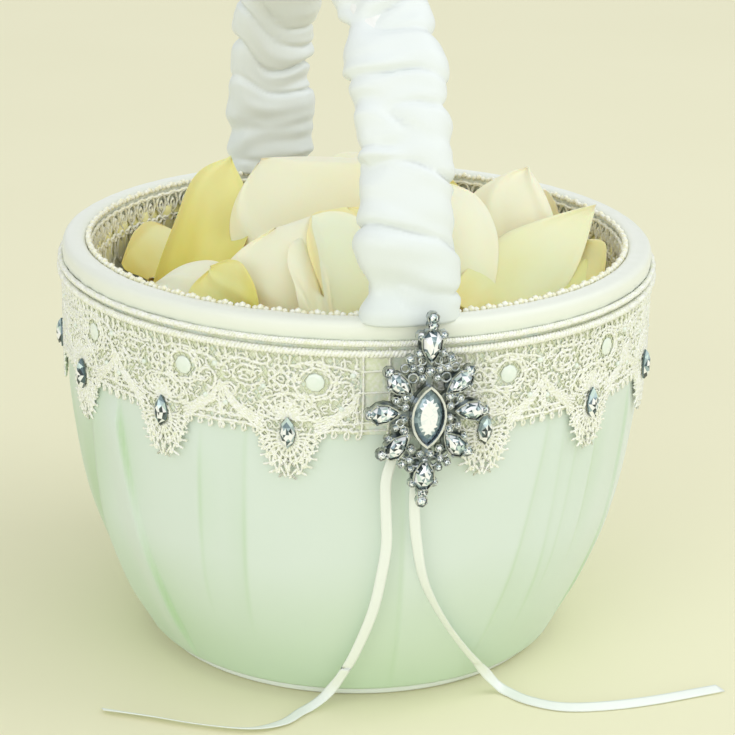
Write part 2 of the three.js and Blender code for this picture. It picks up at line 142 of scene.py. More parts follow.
def thicken(made, thick, offset=-1.0):
    wall = made.modifiers.new("thickness", "SOLIDIFY")
    wall.thickness = thick * MM
    wall.offset = offset


def colour(code):
    """A linear colour from an sRGB hex code."""
    parts = [int(code[i:i + 2], 16) / 255 for i in (1, 3, 5)]
    return [p / 12.92 if p <= 0.04045 else ((p + 0.055) / 1.055) ** 2.4 for p in parts] + [1.0]


def add(tree, kind, settings=None, links=None):
    """Adds a node: settings go to its sockets or properties, links join (node, output) pairs to sockets."""
    made = tree.nodes.new(kind)
    for key, value in (settings or {}).items():
        if isinstance(key, int) or key in made.inputs:
            made.inputs[key].default_value = value
        else:
            setattr(made, key, value)
    for key, (source, output) in (links or {}).items():
        tree.links.new(source.outputs[output], made.inputs[key])
    return made


def new_material(name, settings):
    """A material with one Principled shader; returns the material, its tree and the shader."""
    made = bpy.data.materials.new(name)
    made.use_nodes = True
    tree = made.node_tree
    tree.nodes.clear()
    shader = add(tree, "ShaderNodeBsdfPrincipled", settings)
    add(tree, "ShaderNodeOutputMaterial", {}, {"Surface": (shader, "BSDF")})
    return made, tree, shader


def raise_by(tree, shader, height, strength, distance):
    """The shader's bump, from a (node, output) pair."""
    bump = add(tree, "ShaderNodeBump", {"Strength": strength, "Distance": distance}, {"Height": height})
    tree.links.new(bump.outputs["Normal"], shader.inputs["Normal"])


def make_ribbon_satin():
    # Polyester satin ribbon, woven: smooth bright face, fine ribs of the weft across it.
    made, tree, shader = new_material("ribbon_woven_satin", {
        "Base Color": colour("#F0F5EC"), "Roughness": 0.36, "Sheen Weight": 0.25,
    })
    uv = add(tree, "ShaderNodeTexCoord")
    ribs = add(tree, "ShaderNodeTexWave", {
        "wave_type": "BANDS", "bands_direction": "Y", "Scale": 90.0, "Distortion": 0.3,
    }, {"Vector": (uv, "UV")})
    raise_by(tree, shader, (ribs, "Fac"), 0.12, 0.0001)
    return made


def make_ribbon(name, node, route, material):
    steps = 150
    line, length = even_route(route, steps)
    bm = grid(5, steps + 1)

    def place(u, v):
        i = min(int(round(v * steps)), steps)
        here = Vector(line[i][:3])
        along = (Vector(line[min(i + 1, steps)][:3]) - Vector(line[max(i - 1, 0)][:3])).normalized()
        resting = min(max(1 - (here.z - 2) / 10, 0), 1)
        outward = Vector((here.x, here.y, 0)).normalized().lerp(Vector((0, 0, 1)), resting)
        outward = (outward - along * outward.dot(along)).normalized()
        face = Quaternion(along, math.radians(line[i][3])) @ outward
        side = along.cross(face).normalized()
        across = (u - 0.5) * RIBBON_WIDTH
        slant = across * 0.55 * (1 if i == steps else 0)
        curve = 0.10 * (1 - (2 * u - 1) ** 2)
        return here + side * across + face * curve + along * slant

    shape(bm, place)
    made = piece(name, bm, "basket", material)
    thicken(made, RIBBON_THICK, 0.0)
    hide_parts(node)
    start = Vector(route[0][:3]) * MM
    [[c * MM for c in point[:3]] for point in line]


ribbon_satin = make_ribbon_satin()
make_ribbon("ribbon_left", "ribbon_tail_left", RIBBON_LEFT, ribbon_satin)
make_ribbon("ribbon_right", "ribbon_tail_right", RIBBON_RIGHT, ribbon_satin)

# ---------------------------------------------------------------- base board
# A disc of 3 mm card covered in the same satin, under the bowl, with a softly rounded edge.
# It is glued on, and only its thin white edge shows, as the basket's foot.
BOARD_RADIUS = 61.8
BOARD_THICK = 3.0
BOARD_EDGE = 1.1


def profile_wire(points, closed=False):
    """A bmesh with one line of edges through (radius, height) points in the XZ plane."""
    bm = bmesh.new()
    verts = [bm.verts.new((r, 0, z)) for r, z in points]
    pairs = list(zip(verts, verts[1:])) + ([(verts[-1], verts[0])] if closed else [])
    for a, b in pairs:
        bm.edges.new((a, b))
    return bm


def turn(points, steps, closed=False):
    """The profile turned once round the Z axis, with its doubles merged."""
    bm = profile_wire(points, closed)
    bmesh.ops.spin(bm, geom=bm.verts[:] + bm.edges[:], cent=(0, 0, 0), axis=(0, 0, 1),
                   dvec=(0, 0, 0), angle=2 * math.pi, steps=steps, use_merge=True)
    bmesh.ops.remove_doubles(bm, verts=bm.verts, dist=1e-4)
    bmesh.ops.recalc_face_normals(bm, faces=bm.faces)
    return bm


def make_satin(name, top, bottom, low, high, fold, weave=0.5, crease=None):
    """Polyester satin: a soft broad shine, paler where it is lit, with a fine diagonal weave; the colour is
    painted light and shade.
    The colour runs from bottom to top over the heights low to high, in metres, as painted shading by height;
    crease paints shade along the fold lines."""
    made, tree, shader = new_material(name, {
        "Roughness": 0.42, "Sheen Weight": 0.35, "Sheen Roughness": 0.4,
        "Specular IOR Level": 0.5, "Anisotropic": 0.3,
    })
    place = add(tree, "ShaderNodeTexCoord")
    split = add(tree, "ShaderNodeSeparateXYZ", {}, {0: (place, "Object")})
    height = add(tree, "ShaderNodeMapRange", {"From Min": low, "From Max": high},
                 {"Value": (split, "Z")})
    blotch = add(tree, "ShaderNodeTexNoise", {"Scale": 22.0, "Detail": 2.0, "Roughness": 0.5},
                 {"Vector": (place, "Object")})
    drift = add(tree, "ShaderNodeMath", {"operation": "MULTIPLY_ADD", 1: 0.30, 2: -0.15},
                {0: (blotch, "Fac")})
    painted_height_shading = add(tree, "ShaderNodeMath", {"operation": "ADD", "use_clamp": True},
                {0: (height, "Result"), 1: (drift, 0)})
    # painted shade by height: the colour runs from the bottom colour to the top colour over the heights low
    # to high
    tint = add(tree, "ShaderNodeMix", {"data_type": "RGBA", 6: colour(bottom), 7: colour(top)},
               {0: (painted_height_shading, 0)})
    shown = tint
    if crease:
        # painted shade: the satin is drawn in the crease colour along the fold lines and over the left flank
        lines = add(tree, "ShaderNodeAttribute", {"attribute_name": "painted_fold_shade"})
        shown = add(tree, "ShaderNodeMix", {"data_type": "RGBA", 7: colour(crease)},
                    {0: (lines, "Fac"), 6: (tint, 2)})
    tree.links.new(shown.outputs[2], shader.inputs["Base Color"])
    # The real weave is about 0.1 mm; it is drawn at about 0.6 mm so that it shows at all.
    threads = add(tree, "ShaderNodeTexNoise", {"Scale": 1600.0, "Detail": 1.0},
                  {"Vector": (place, "Object")})
    folds = add(tree, "ShaderNodeTexNoise", {"Scale": 70.0, "Detail": 2.0, "Roughness": 0.45},
                {"Vector": (place, "Object")})
    fine = add(tree, "ShaderNodeBump", {"Strength": 0.10 * weave, "Distance": 0.0003},
               {"Height": (threads, "Fac")})
    bump = add(tree, "ShaderNodeBump", {"Strength": fold, "Distance": 0.002},
               {"Height": (folds, "Fac"), "Normal": (fine, "Normal")})
    tree.links.new(bump.outputs["Normal"], shader.inputs["Normal"])
    return made


def arc(cx, cz, radius, start, end, steps):
    """Points of an arc of a profile, its angles in degrees."""
    angles = [math.radians(lerp(start, end, i / steps)) for i in range(steps + 1)]
    return [(cx + radius * math.cos(a), cz + radius * math.sin(a)) for a in angles]


# painted shade: the board's satin is drawn a little darker at the bottom of its edge
board_satin = make_satin("base_board_satin", "#F6F9F6", "#EAF1E6", 0.0, 0.003, 0.15)
edge_radius = BOARD_RADIUS - BOARD_EDGE
board_profile = [(0, 0), (edge_radius, 0)]
board_profile += arc(edge_radius, BOARD_EDGE, BOARD_EDGE, -90, 0, 5)[1:]
board_profile += arc(edge_radius, BOARD_THICK - BOARD_EDGE, BOARD_EDGE, 0, 90, 5)
board_profile += [(0, BOARD_THICK)]
base_board = piece("base_board_covered", turn(board_profile, 160), "basket", board_satin)
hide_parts("base_board")

# ---------------------------------------------------------------- bowl shell
# The stiff former of the bowl, pressed from grey-white card, hidden between cover and lining.
# Its pressed fibres give it a matt, slightly mottled face.


def grain(tree, scale, detail, space="Object"):
    """Cloudy noise on the piece's own coordinates."""
    place = add(tree, "ShaderNodeTexCoord")
    return add(tree, "ShaderNodeTexNoise", {"Scale": scale, "Detail": detail}, {"Vector": (place, space)})


def tint_by(tree, shader, share, dark, light):
    """The shader's colour, from dark to light by a (node, output) pair."""
    tint = add(tree, "ShaderNodeMix", {"data_type": "RGBA", 6: colour(dark), 7: colour(light)}, {0: share})
    tree.links.new(tint.outputs[2], shader.inputs["Base Color"])


def make_pressed_card():
    made, tree, shader = new_material("pressed_former_card", {"Roughness": 0.85})
    fibres = grain(tree, 900.0, 4.0)
    tint_by(tree, shader, (fibres, "Fac"), "#CFCBBE", "#E7E4DA")
    raise_by(tree, shader, (fibres, "Fac"), 0.2, 0.0002)
    return made


def finish_node(node, material):
    """Gives a CAD node that stays its better material."""
    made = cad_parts[node]
    for holder in made.material_slots:
        holder.material = material


finish_node("bowl_shell", make_pressed_card())

# ---------------------------------------------------------------- bowl cover
# Ivory satin stretched down the outside of the bowl in soft upright pleats and turned in below.
# Two pleats at the left are pressed sharp; the others are only soft waves in the cloth.
COVER_SIDE = [(64.5, 3.3), (68.4, 12), (74.7, 26), (80.9, 44), (84.8, 66), (87.1, 90), (87.5, 117.2)]
COVER_TURN_IN = 12.0
COVER_THICK = 0.5
# each pleat: azimuth and height of its top and of its foot, depth, and widths of its two sides, in mm
PLEATS = [
    (-73.7, 84, -81.6, 6, 1.80, 0.5, 9.0), (-64.9, 86, -60.4, 5, 1.60, 6.0, 0.6),
    (-44.7, 84, -47.2, 30, 0.45, 3.0, 3.0), (-34.3, 90, -36.6, 25, 0.45, 3.0, 3.5),
    (-5.7, 84, -3.9, 4, 0.30, 0.5, 5.0), (22.6, 90, 15.7, 10, 0.50, 4.0, 1.6),
    (26.7, 86, 25.7, 20, 0.45, 2.5, 2.5), (31.1, 84, 28.8, 30, 0.40, 2.2, 2.2),
    (37.5, 84, 36.2, 40, 0.70, 5.0, 1.0), (52.0, 86, 55.0, 8, 0.70, 0.7, 8.0),
    (70.0, 86, 66.0, 12, 0.55, 5.0, 2.5),
]
pleat_random = random.Random(11)
azimuth = 84.0
while azimuth < 272:
    lean = pleat_random.uniform(-5, 5)
    sharp, soft = pleat_random.choice([(0.6, 8.0), (2.5, 4.0), (4.0, 1.2), (3.0, 3.0)])
    PLEATS.append((azimuth, pleat_random.uniform(82, 92), azimuth + lean,
                   pleat_random.uniform(4, 30), pleat_random.uniform(0.4, 0.85), sharp, soft))
    azimuth += pleat_random.uniform(8, 15)


def at_azimuth(degrees, radius, z):
    """A point at an azimuth measured from -Y towards +X."""
    a = math.radians(degrees)
    return Vector((radius * math.sin(a), -radius * math.cos(a), z))


def azimuth_of(x, y):
    return math.degrees(math.atan2(x, -y))


def ease(low, high, value):
    """0 below low, 1 above high, and smooth between them."""
    t = min(max((value - low) / (high - low), 0), 1)
    return t * t * (3 - 2 * t)


def pleats_near(degrees, radius, z, within):
    """Each pleat near a place: how far off it is in mm, its strength there, its depth and widths."""
    for top_a, top_z, foot_a, foot_z, depth, left, right in PLEATS:
        share = (z - foot_z) / (top_z - foot_z)
        middle = foot_a + (top_a - foot_a) * min(max(share, -0.1), 1.1)
        gone = math.radians((degrees - middle + 180) % 360 - 180) * radius
        if abs(gone) <= within:
            fade = ease(foot_z - 8, foot_z + 14, z) * (1 - ease(top_z - 6, top_z + 8, z))
            yield gone, fade, depth, left, right


def pleat_height(degrees, radius, z):
    """How far the cloth stands out at a place, in mm."""
    out = 0.0
    for gone, fade, depth, left, right in pleats_near(degrees, radius, z, 30):
        side = left if gone < 0 else right
        out += depth * fade * math.exp(-(gone / side) ** 2 * 0.7)
    return out


def painted_crease_shade(degrees, radius, z):
    """How much painted shade a place gets in the satin's colour, from 0 to 1: along the fold lines and over
    the left flank.
    """
    # the left flank is painted in deeper shade all over
    deep = 0.95 * ease(62, 88, -degrees) * (1 - ease(112, 140, -degrees)) * (0.6 + 0.4 * ease(0, 60, z))
    for gone, fade, depth, left, right in pleats_near(degrees, radius, z, 24):
        beside = -gone if left < right else gone
        line = 0.65 * math.exp(-((beside - 0.6) / 0.8) ** 2)
        band = 0.45 * ease(0, 1, beside) * math.exp(-max(beside, 0) / 7)
        deep = max(deep, fade * min(depth, 1.0) * (line + band))
    blotch = noise.noise(Vector((degrees * 0.06, z * 0.03, 5.0)))
    return min(max(deep * (0.75 + 0.8 * blotch), 0.0), 1.0)


def smooth_profile(points, steps):
    return [smooth_route(points, i / steps) for i in range(steps + 1)]


def make_cover():
    foot_radius, foot_z = COVER_SIDE[0]
    profile = [(foot_radius - COVER_TURN_IN, foot_z)]
    profile += [(foot_radius - 2.0, foot_z), (foot_radius - 0.6, foot_z + 0.15)]
    profile += smooth_profile(COVER_SIDE, 46)
    bm = turn(profile, 880)
    # painted shade for the satin's colour, deepest in the fold lines and on the left flank
    painted_fold_shade = bm.verts.layers.float.new("painted_fold_shade")
    for vert in bm.verts:
        x, y, z = vert.co
        radius = math.hypot(x, y)
        if z < foot_z + 0.1:
            continue
        degrees = azimuth_of(x, y)
        vert[painted_fold_shade] = painted_crease_shade(degrees, radius, z)
        out = pleat_height(degrees, radius, z)
        wave = noise.noise(Vector((x * 0.035, y * 0.035, z * 0.012))) * 0.5 + 0.5
        out += 0.35 * wave * ease(6, 20, z) * (1 - ease(78, 96, z))
        vert.co.x += x / radius * out
        vert.co.y += y / radius * out
    # painted shade: the satin is greener and darker low on the bowl, and the crease colour deepens the fold
    # lines
    cover_satin = make_satin("cover_ivory_satin", "#DBE7DD", "#C1DAB7", -0.008, 0.052, 0.10, crease="#B0D29E")
    made = piece("bowl_cover_pleated", bm, "basket", cover_satin)
    thicken(made, COVER_THICK)
    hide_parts("bowl_cover")
    flat_length = sum(math.dist(a, b) for a, b in zip(profile, profile[1:]))


make_cover()

# ---------------------------------------------------------------- bowl lining
# A thinner ivory satin inside the bowl, gathered at the top and falling in soft upright folds.
# Its floor is a turned-in disc of the same cloth over the shell's floor.
LINING_INSET = 6.4
LINING_FLOOR = 6.4
LINING_FOLDS = 44


def make_lining():
    wall = [(r - LINING_INSET, z) for r, z in COVER_SIDE if z > 10]
    profile = [(radius, LINING_FLOOR) for radius in (0, 20, 40, 57.5)]
    profile += smooth_profile(wall, 26)
    bm = turn(profile, 480)
    for vert in bm.verts:
        x, y, z = vert.co
        radius = math.hypot(x, y)
        if radius < 57:
            continue
        degrees = azimuth_of(x, y)
        turns = LINING_FOLDS * math.radians(degrees)
        wander = 2.2 * noise.noise(Vector((x * 0.03, y * 0.03, z * 0.02)))
        fold = 0.5 + 0.5 * math.sin(turns + wander)
        inward = (0.4 + 1.1 * fold * fold) * ease(7, 30, z)
        vert.co.x -= x / radius * inward
        vert.co.y -= y / radius * inward
    bmesh.ops.reverse_faces(bm, faces=bm.faces)
    # painted shade: the lining turns yellow at the top, behind the gimp, for the shade in the gaps between
    # its loops
    lining_satin = make_satin("lining_ivory_satin", "#F6F0A8", "#F1F5E8", 0.103, 0.112, 0.12)
    made = piece("bowl_lining_gathered", bm, "basket", lining_satin)
    thicken(made, 0.4)
    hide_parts("bowl_lining")


make_lining()

# ---------------------------------------------------------------- rim roll
# A bias strip of satin rolled round a cotton filler cord and sewn over the bowl's top edge.
# It is plump, smooth on top and a little puckered along the stitching at its two edges.
RIM_MIDDLE = 84.8
RIM_HALF_WIDTH = 3.75
RIM_BASE = 117.3
RIM_TOP = 124.2
RIM_SQUARE = 0.66


def make_rim():
    middle_z = (RIM_BASE + RIM_TOP) / 2
    half_high = (RIM_TOP - RIM_BASE) / 2
    section = []
    for i in range(22):
        a = math.radians(i / 22 * 360)
        across = math.copysign(abs(math.cos(a)) ** RIM_SQUARE, math.cos(a))
        up = math.copysign(abs(math.sin(a)) ** RIM_SQUARE, math.sin(a))
        section.append((RIM_MIDDLE + RIM_HALF_WIDTH * across, middle_z + half_high * up))
    bm = turn(section, 520, closed=True)
    for vert in bm.verts:
        x, y, z = vert.co
        radius = math.hypot(x, y)
        degrees = azimuth_of(x, y)
        outward = Vector((x / radius, y / radius, 0)) * (radius - RIM_MIDDLE)
        outward += Vector((0, 0, z - middle_z))
        low = 1 - ease(RIM_BASE, middle_z + 1, z)
        pucker = noise.noise(Vector((degrees * 0.45, (radius - RIM_MIDDLE) * 0.10, z * 0.10)))
        soft = noise.noise(Vector((x * 0.05, y * 0.05, 3.0)))
        vert.co += outward.normalized() * (-0.10 + 0.10 * soft + (0.08 + 0.22 * low) * pucker)
    # painted shade: the rim's satin is drawn darker on its lower side
    rim_satin = make_satin("rim_white_satin", "#EDF0E1", "#E1EAD6", 0.116, 0.121, 0.10)
    made = piece("rim_roll_bias", bm, "basket", rim_satin)
    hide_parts("rim_roll")


def make_cotton():
    made, tree, shader = new_material("twisted_cotton_cord", {"Roughness": 0.9, "Sheen Weight": 0.2})
    place = add(tree, "ShaderNodeTexCoord")
    twist = add(tree, "ShaderNodeTexWave", {
        "wave_type": "BANDS", "bands_direction": "DIAGONAL", "Scale": 220.0, "Distortion": 2.0,
    }, {"Vector": (place, "Object")})
    tint_by(tree, shader, (twist, "Fac"), "#D9D4C2", "#F2EFE2")
    return made


make_rim()
finish_node("rim_filler_cord", make_cotton())

# ---------------------------------------------------------------- inner gimp braid
# Looped rayon gimp sewn inside the rim: two rows of loops on a wavy middle cord.
# Its top edge is a row of small pearl-like picots that stands just above the rim.
GIMP_RADIUS = 80.1
GIMP_REPEATS = 96
GIMP_TOP = 123.2
GIMP_MIDDLE = 113.6
GIMP_FOOT = 104.6
GIMP_THREAD = 1.05


def make_thread_yarn(name, light, dark, scale):
    """Mercerised cotton or rayon yarn, its colour painted by noise: a painted highlight on top of each stitch
    and painted shade in its hollows.
    """
    made, tree, shader = new_material(name, {
        "Roughness": 0.55, "Sheen Weight": 0.4, "Sheen Roughness": 0.35,
    })
    place = add(tree, "ShaderNodeTexCoord")
    stitches = add(tree, "ShaderNodeTexNoise", {"Scale": scale, "Detail": 2.0, "Roughness": 0.6},
                   {"Vector": (place, "Object")})
    # painted light: the noise paints a highlight on the tops of the stitches and shade in their hollows
    stitch_light_and_shade = add(tree, "ShaderNodeMapRange", {"From Min": 0.35, "From Max": 0.60},
                   {"Value": (stitches, "Fac")})
    tint_by(tree, shader, (stitch_light_and_shade, "Result"), dark, light)
    raise_by(tree, shader, (stitches, "Fac"), 0.6, 0.0004)
    return made


def thread_mesh(lines, resolution=0):
    """Mesh tubes along lines; each line is (points in mm with a radius each, closed or not)."""
    curve = bpy.data.curves.new("threads", "CURVE")
    curve.dimensions = "3D"
    curve.bevel_depth = 1.0
    curve.bevel_resolution = resolution
    curve.use_fill_caps = True
    for points, closed in lines:
        spline = curve.splines.new("POLY")
        spline.points.add(len(points) - 1)
        for spot, (x, y, z, radius) in zip(spline.points, points):
            spot.co = (x, y, z, 1)
            spot.radius = radius
        spline.use_cyclic_u = closed
    holder = bpy.data.objects.new("threads", curve)
    mesh = bpy.data.meshes.new_from_object(holder)
    bpy.data.objects.remove(holder)
    bpy.data.curves.remove(curve)
    bm = bmesh.new()
    bm.from_mesh(mesh)
    bpy.data.meshes.remove(mesh)
    return bm


def spaced(points, step, closed=False):
    """The flat line of (s, z) points redrawn smoothly with a point every step mm."""
    if closed:
        points = points + [points[0]]
    rough = [smooth_route(points, i / (6 * len(points))) for i in range(6 * len(points) + 1)]
    length = sum(math.dist(a, b) for a, b in zip(rough, rough[1:]))
    count = max(3, round(length / step))
    out, k, gone = [], 0, 0.0
    for i in range(count + (0 if closed else 1)):
        want = length * i / count
        while k < len(rough) - 2 and gone + math.dist(rough[k], rough[k + 1]) < want:
            gone += math.dist(rough[k], rough[k + 1])
            k += 1
        t = (want - gone) / max(math.dist(rough[k], rough[k + 1]), 1e-9)
        out.append(tuple(lerp(a, b, t) for a, b in zip(rough[k], rough[k + 1])))
    return out


def wrapped(flat, closed, start, radius, thick, lift=0.0, bumps=0.22):
    """A flat line wrapped round the bowl from the azimuth start, as a bumpy thread."""
    line = []
    for i, (s, z) in enumerate(flat):
        swell = 1 + (bumps if i % 2 else -bumps)
        place = at_azimuth(start + math.degrees(s / radius), radius + lift, z)
        line.append((*place, thick / 2 * swell))
    return line, closed


def loop_line(s, low, high, wide, fat=0.5):
    """A closed teardrop loop standing between two heights; fat is where it is widest."""
    middle = lerp(low, high, fat)
    return [(s, low), (s + wide * 0.42, lerp(low, middle, 0.62)), (s + wide * 0.5, middle),
            (s + wide * 0.34, lerp(middle, high, 0.72)), (s, high),
            (s - wide * 0.34, lerp(middle, high, 0.72)), (s - wide * 0.5, middle),
            (s - wide * 0.42, lerp(low, middle, 0.62))]


def make_gimp():
    lines = []
    pitch = 2 * math.pi * GIMP_RADIUS / GIMP_REPEATS
    for i in range(GIMP_REPEATS):
        start = 360 * i / GIMP_REPEATS
        upper = spaced(loop_line(0, GIMP_MIDDLE + 0.8, GIMP_TOP - 2.0, pitch * 0.80, 0.62), 1.1, True)
        lower = spaced(loop_line(pitch / 2, GIMP_FOOT, GIMP_MIDDLE - 0.6, pitch * 0.74, 0.45), 1.1, True)
        core = spaced(loop_line(0, GIMP_MIDDLE + 2.4, GIMP_TOP - 4.0, pitch * 0.30, 0.6), 1.2, True)
        for flat in (upper, lower, core):
            lines.append(wrapped(flat, True, start, GIMP_RADIUS, GIMP_THREAD))
    steps = GIMP_REPEATS * 6
    for height, swing, phase in ((GIMP_MIDDLE, 0.9, 0.0), (GIMP_TOP - 1.9, 0.25, 1.6),
                                 (GIMP_MIDDLE - 0.5, 0.9, math.pi)):
        ring = []
        for i in range(steps):
            turn_at = i / steps * GIMP_REPEATS * 2 * math.pi + phase
            ring.append((2 * math.pi * GIMP_RADIUS * i / steps, height + swing * math.sin(turn_at)))
        lines.append(wrapped(ring, True, 0, GIMP_RADIUS, GIMP_THREAD * 1.1, -0.1))
    bm = thread_mesh(lines)
    for i in range(GIMP_REPEATS):
        for s, z, size in ((-1.55, -0.4, 0.95), (0, 0.0, 1.05), (1.55, -0.4, 0.95)):
            bead = bmesh.ops.create_icosphere(bm, subdivisions=1, radius=size)["verts"]
            angle = 360 * i / GIMP_REPEATS + math.degrees(s / GIMP_RADIUS)
            bmesh.ops.translate(bm, verts=bead, vec=at_azimuth(angle, GIMP_RADIUS + 0.5, GIMP_TOP + 0.5 + z))
    yarn = make_thread_yarn("gimp_rayon_yarn", "#FFFFF2", "#F8F4CC", 900.0)
    made = piece("inner_gimp_loops", bm, "basket", yarn)
    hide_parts("inner_gimp_braid")


make_gimp()

# ---------------------------------------------------------------- guipure lace
# Chemical lace of cotton thread, sewn flat round the bowl: flowers, leaves and scrolls on a net,
# with a picot edge and pointed leaves. Its two ends meet behind the brooch.
LACE_RADIUS = 88.35
LACE_REPEAT = 25.0
LACE_FIRST = 8.3
LACE_COUNT = 14
LACE_TOP = 114.0
LACE_VALLEY = 92.0
LEAF_HALF = 8.0
LEAF_SHOULDER = 91.5
LEAF_TIP = 80.4
LEAF_DEEP = 11.2
THREAD_STEP = 0.8
THREAD_SWELL = 1.42
NET_THREAD = 0.34


def ring_points(s, z, wide, high, count=8, start=0.0, sweep=360.0):
    angles = [math.radians(start + sweep * i / count) for i in range(count + (sweep < 360))]
    return [(s + wide * math.cos(a), z + high * math.sin(a)) for a in angles]


def leaf_edge(s):
    """The height of the lace's lower edge at a distance along it from a leaf's middle."""
    off = abs(s)
    if off >= LEAF_HALF:
        return LACE_VALLEY
    return lerp(LEAF_TIP + 2.4, LEAF_SHOULDER + 0.5, (off / LEAF_HALF) ** 1.5)


def lace_motif():
    """The threads of one repeat, flat, as (points, closed, thickness); (0, 0) is under the leaf."""
    threads = []
    flower = (-2.0, 107.0)
    for i in range(8):
        a = math.radians(45 * i + 22.5)
        middle = (flower[0] + 2.9 * math.cos(a), flower[1] + 2.9 * math.sin(a))
        threads.append((ring_points(*middle, 1.0, 1.0, 7), True, 0.60))
    for wide in (1.75, 0.8):
        threads.append((ring_points(*flower, wide, wide, 9), True, 0.55))
    # the broad rings round the crystal disc and beside the flower are open at one place
    for s, z, wide, high, first in ((-11.6, 107.0, 4.4, 2.9, 60), (-11.6, 107.0, 2.6, 1.4, 200),
                                    (7.2, 106.6, 4.3, 4.0, 250), (7.2, 106.6, 5.6, 5.0, 150)):
        threads.append((ring_points(s, z, wide, high, 11, first, 300), False, 0.62))
    for i in range(11):
        a = math.radians(360 * i / 11)
        near = (7.2 + 4.2 * math.cos(a), 106.6 + 3.9 * math.sin(a))
        far = (7.2 + 5.9 * math.cos(a + 0.12), 106.6 + 5.2 * math.sin(a + 0.12))
        threads.append(([near, far], False, 0.55))
    for s, z, side in ((14.4, 104.6, 1), (-16.6, 101.8, -1)):
        scroll = []
        for i in range(13):
            a = math.radians(-70 + 34 * i)
            reach = lerp(3.6, 0.7, i / 12)
            scroll.append((s + side * reach * math.cos(a), z + reach * math.sin(a)))
        threads.append((scroll, False, 0.68))
    # short bars up to the heading cords, and the arches that they stand on
    for s in range(-18, 20, 3):
        threads.append(([(s, LACE_TOP), (s + 0.4, 112.2), (s + 0.2, 110.8)], False, 0.55))
    arches = [((-19.2, 108.6), (-16.2, 111.0), (-12.0, 111.4), (-8.0, 110.8), (-5.5, 110.9)),
              ((0.6, 110.9), (4.0, 112.0), (8.0, 112.2), (12.0, 111.2), (15.6, 110.6), (19.2, 108.6))]
    for arch in arches:
        threads.append((list(arch), False, 0.66))
    # sheaves of threads that sweep down from the sides into the leaf
    for side in (-1, 1):
        for i in range(5):
            out, up = 1.35 * i, 1.0 * i
            sheaf = [(side * (19.2 - out * 0.3), 104.2 - out * 0.9),
                     (side * (15.4 - out * 0.2), 99.4 - up * 0.7),
                     (side * (10.6 + out * 0.1), 96.6 - up * 0.6),
                     (side * (6.6 + out * 0.2), 95.2 - up * 0.9)]
            threads.append((sheaf, False, 0.60))
        for i in range(9):
            a = math.radians(4 + 20 * i)
            reach = 6.6 - 0.30 * i
            tip = (side * (1.0 + reach * math.cos(a) * 1.15), 96.2 + reach * math.sin(a))
            bend = (side * (0.7 + reach * 0.62 * math.cos(a - 0.28)),
                    96.2 + reach * 0.62 * math.sin(a - 0.28))
            threads.append(([(side * 0.5, 96.0), bend, tip], False, 0.62))
        threads.append((ring_points(side * 1.0, 96.2, side * 7.6, 6.7, 8, 0, 150), False, 0.58))
        threads.append((ring_points(side * 1.0, 96.2, side * 4.4, 3.9, 7, 0, 150), False, 0.50))
        for height in (95.0, 93.2):
            threads.append(([(side * 19.25, height), (side * 15.0, height), (side * 11.0, height - 0.2),
                             (side * 8.2, height - 0.9)], False, 0.66))
        for i in range(4):
            s = side * (9.4 + 3.2 * i)
            threads.append(([(s, 93.0), (s - 0.6, 91.6), (s, 90.5), (s + 0.6, 91.6)], True, 0.52))
        # the leaf: ribs that fan out from its middle, each with short side stitches to a ragged edge
        for i in range(8):
            a = math.radians(8 - 14 * i)
            reach = leaf_reach(a)
            rib = [(side * 1.9 * math.cos(a), 90.6 + 2.6 * math.sin(a)),
                   (side * reach * 0.6 * math.cos(a + 0.10), 90.6 + reach * 0.6 * math.sin(a + 0.10)),
                   (side * reach * math.cos(a), 90.6 + reach * math.sin(a))]
            threads.append((rib, False, 0.60))
            for share, twist in ((0.62, 0.30), (0.62, -0.30), (0.86, 0.20), (0.86, -0.20)):
                foot = (side * reach * share * math.cos(a), 90.6 + reach * share * math.sin(a))
                far = reach * (share + 0.24)
                threads.append(([foot, (side * far * math.cos(a + twist), 90.6 + far * math.sin(a + twist))],
                                False, 0.50))
        threads.append(([(side * 19.2, 95.0), (side * 18.6, 99.0), (side * 19.2, 103.4)], False, 0.62))
    threads.append((ring_points(0, 89.4, 2.9, 4.3, 12), True, 0.62))
    return threads


def leaf_reach(a):
    """How far a rib of the leaf reaches from its middle, in the direction a (0 is sideways)."""
    down = -math.sin(a)
    return lerp(8.2, LEAF_DEEP, max(down, 0) ** 2.4) - 3.4 * max(down, 0) * (1 - max(down, 0))


def filling_stitches(seeds):
    """Small loops of thread scattered between the flowers, as densely as they are embroidered."""
    threads = []
    for row in range(13):
        for step in range(15):
            s = -18.4 + 2.6 * step + seeds.uniform(-0.8, 0.8)
            z = 93.4 + 1.55 * row + seeds.uniform(-0.6, 0.6)
            near_stone = math.hypot(s, (z - 89.4) * 0.8) < 4.0
            near_disc = math.hypot(s - 7.2, z - 106.6) < 3.8
            near_flower = math.hypot(s + 2.0, z - 107.0) < 4.2
            if near_stone or near_disc or near_flower or z > 112.4:
                continue
            first, size = seeds.uniform(0, 360), seeds.uniform(0.7, 1.25)
            threads.append((ring_points(s, z, size, size * 0.8, 5, first, 230), False, 0.48))
    return threads


def net_lines():
    """The fine diagonal net behind the flowers of one repeat, clear of the open cells."""
    lines = []
    half = LACE_REPEAT / 2 * math.radians(1) * LACE_RADIUS
    for side in (-1, 1):
        s = -half - 24
        while s < half + 24:
            run = []
            z = LACE_TOP
            while z > LEAF_TIP:
                place = s + side * (LACE_TOP - z) * 0.75
                inside = -half <= place <= half and z > leaf_edge(place) + 0.3
                if inside:
                    run.append((place, z))
                elif len(run) > 1:
                    break
                z -= 1.4
            if len(run) > 2:
                lines.append(run)
            s += 1.75
    return lines


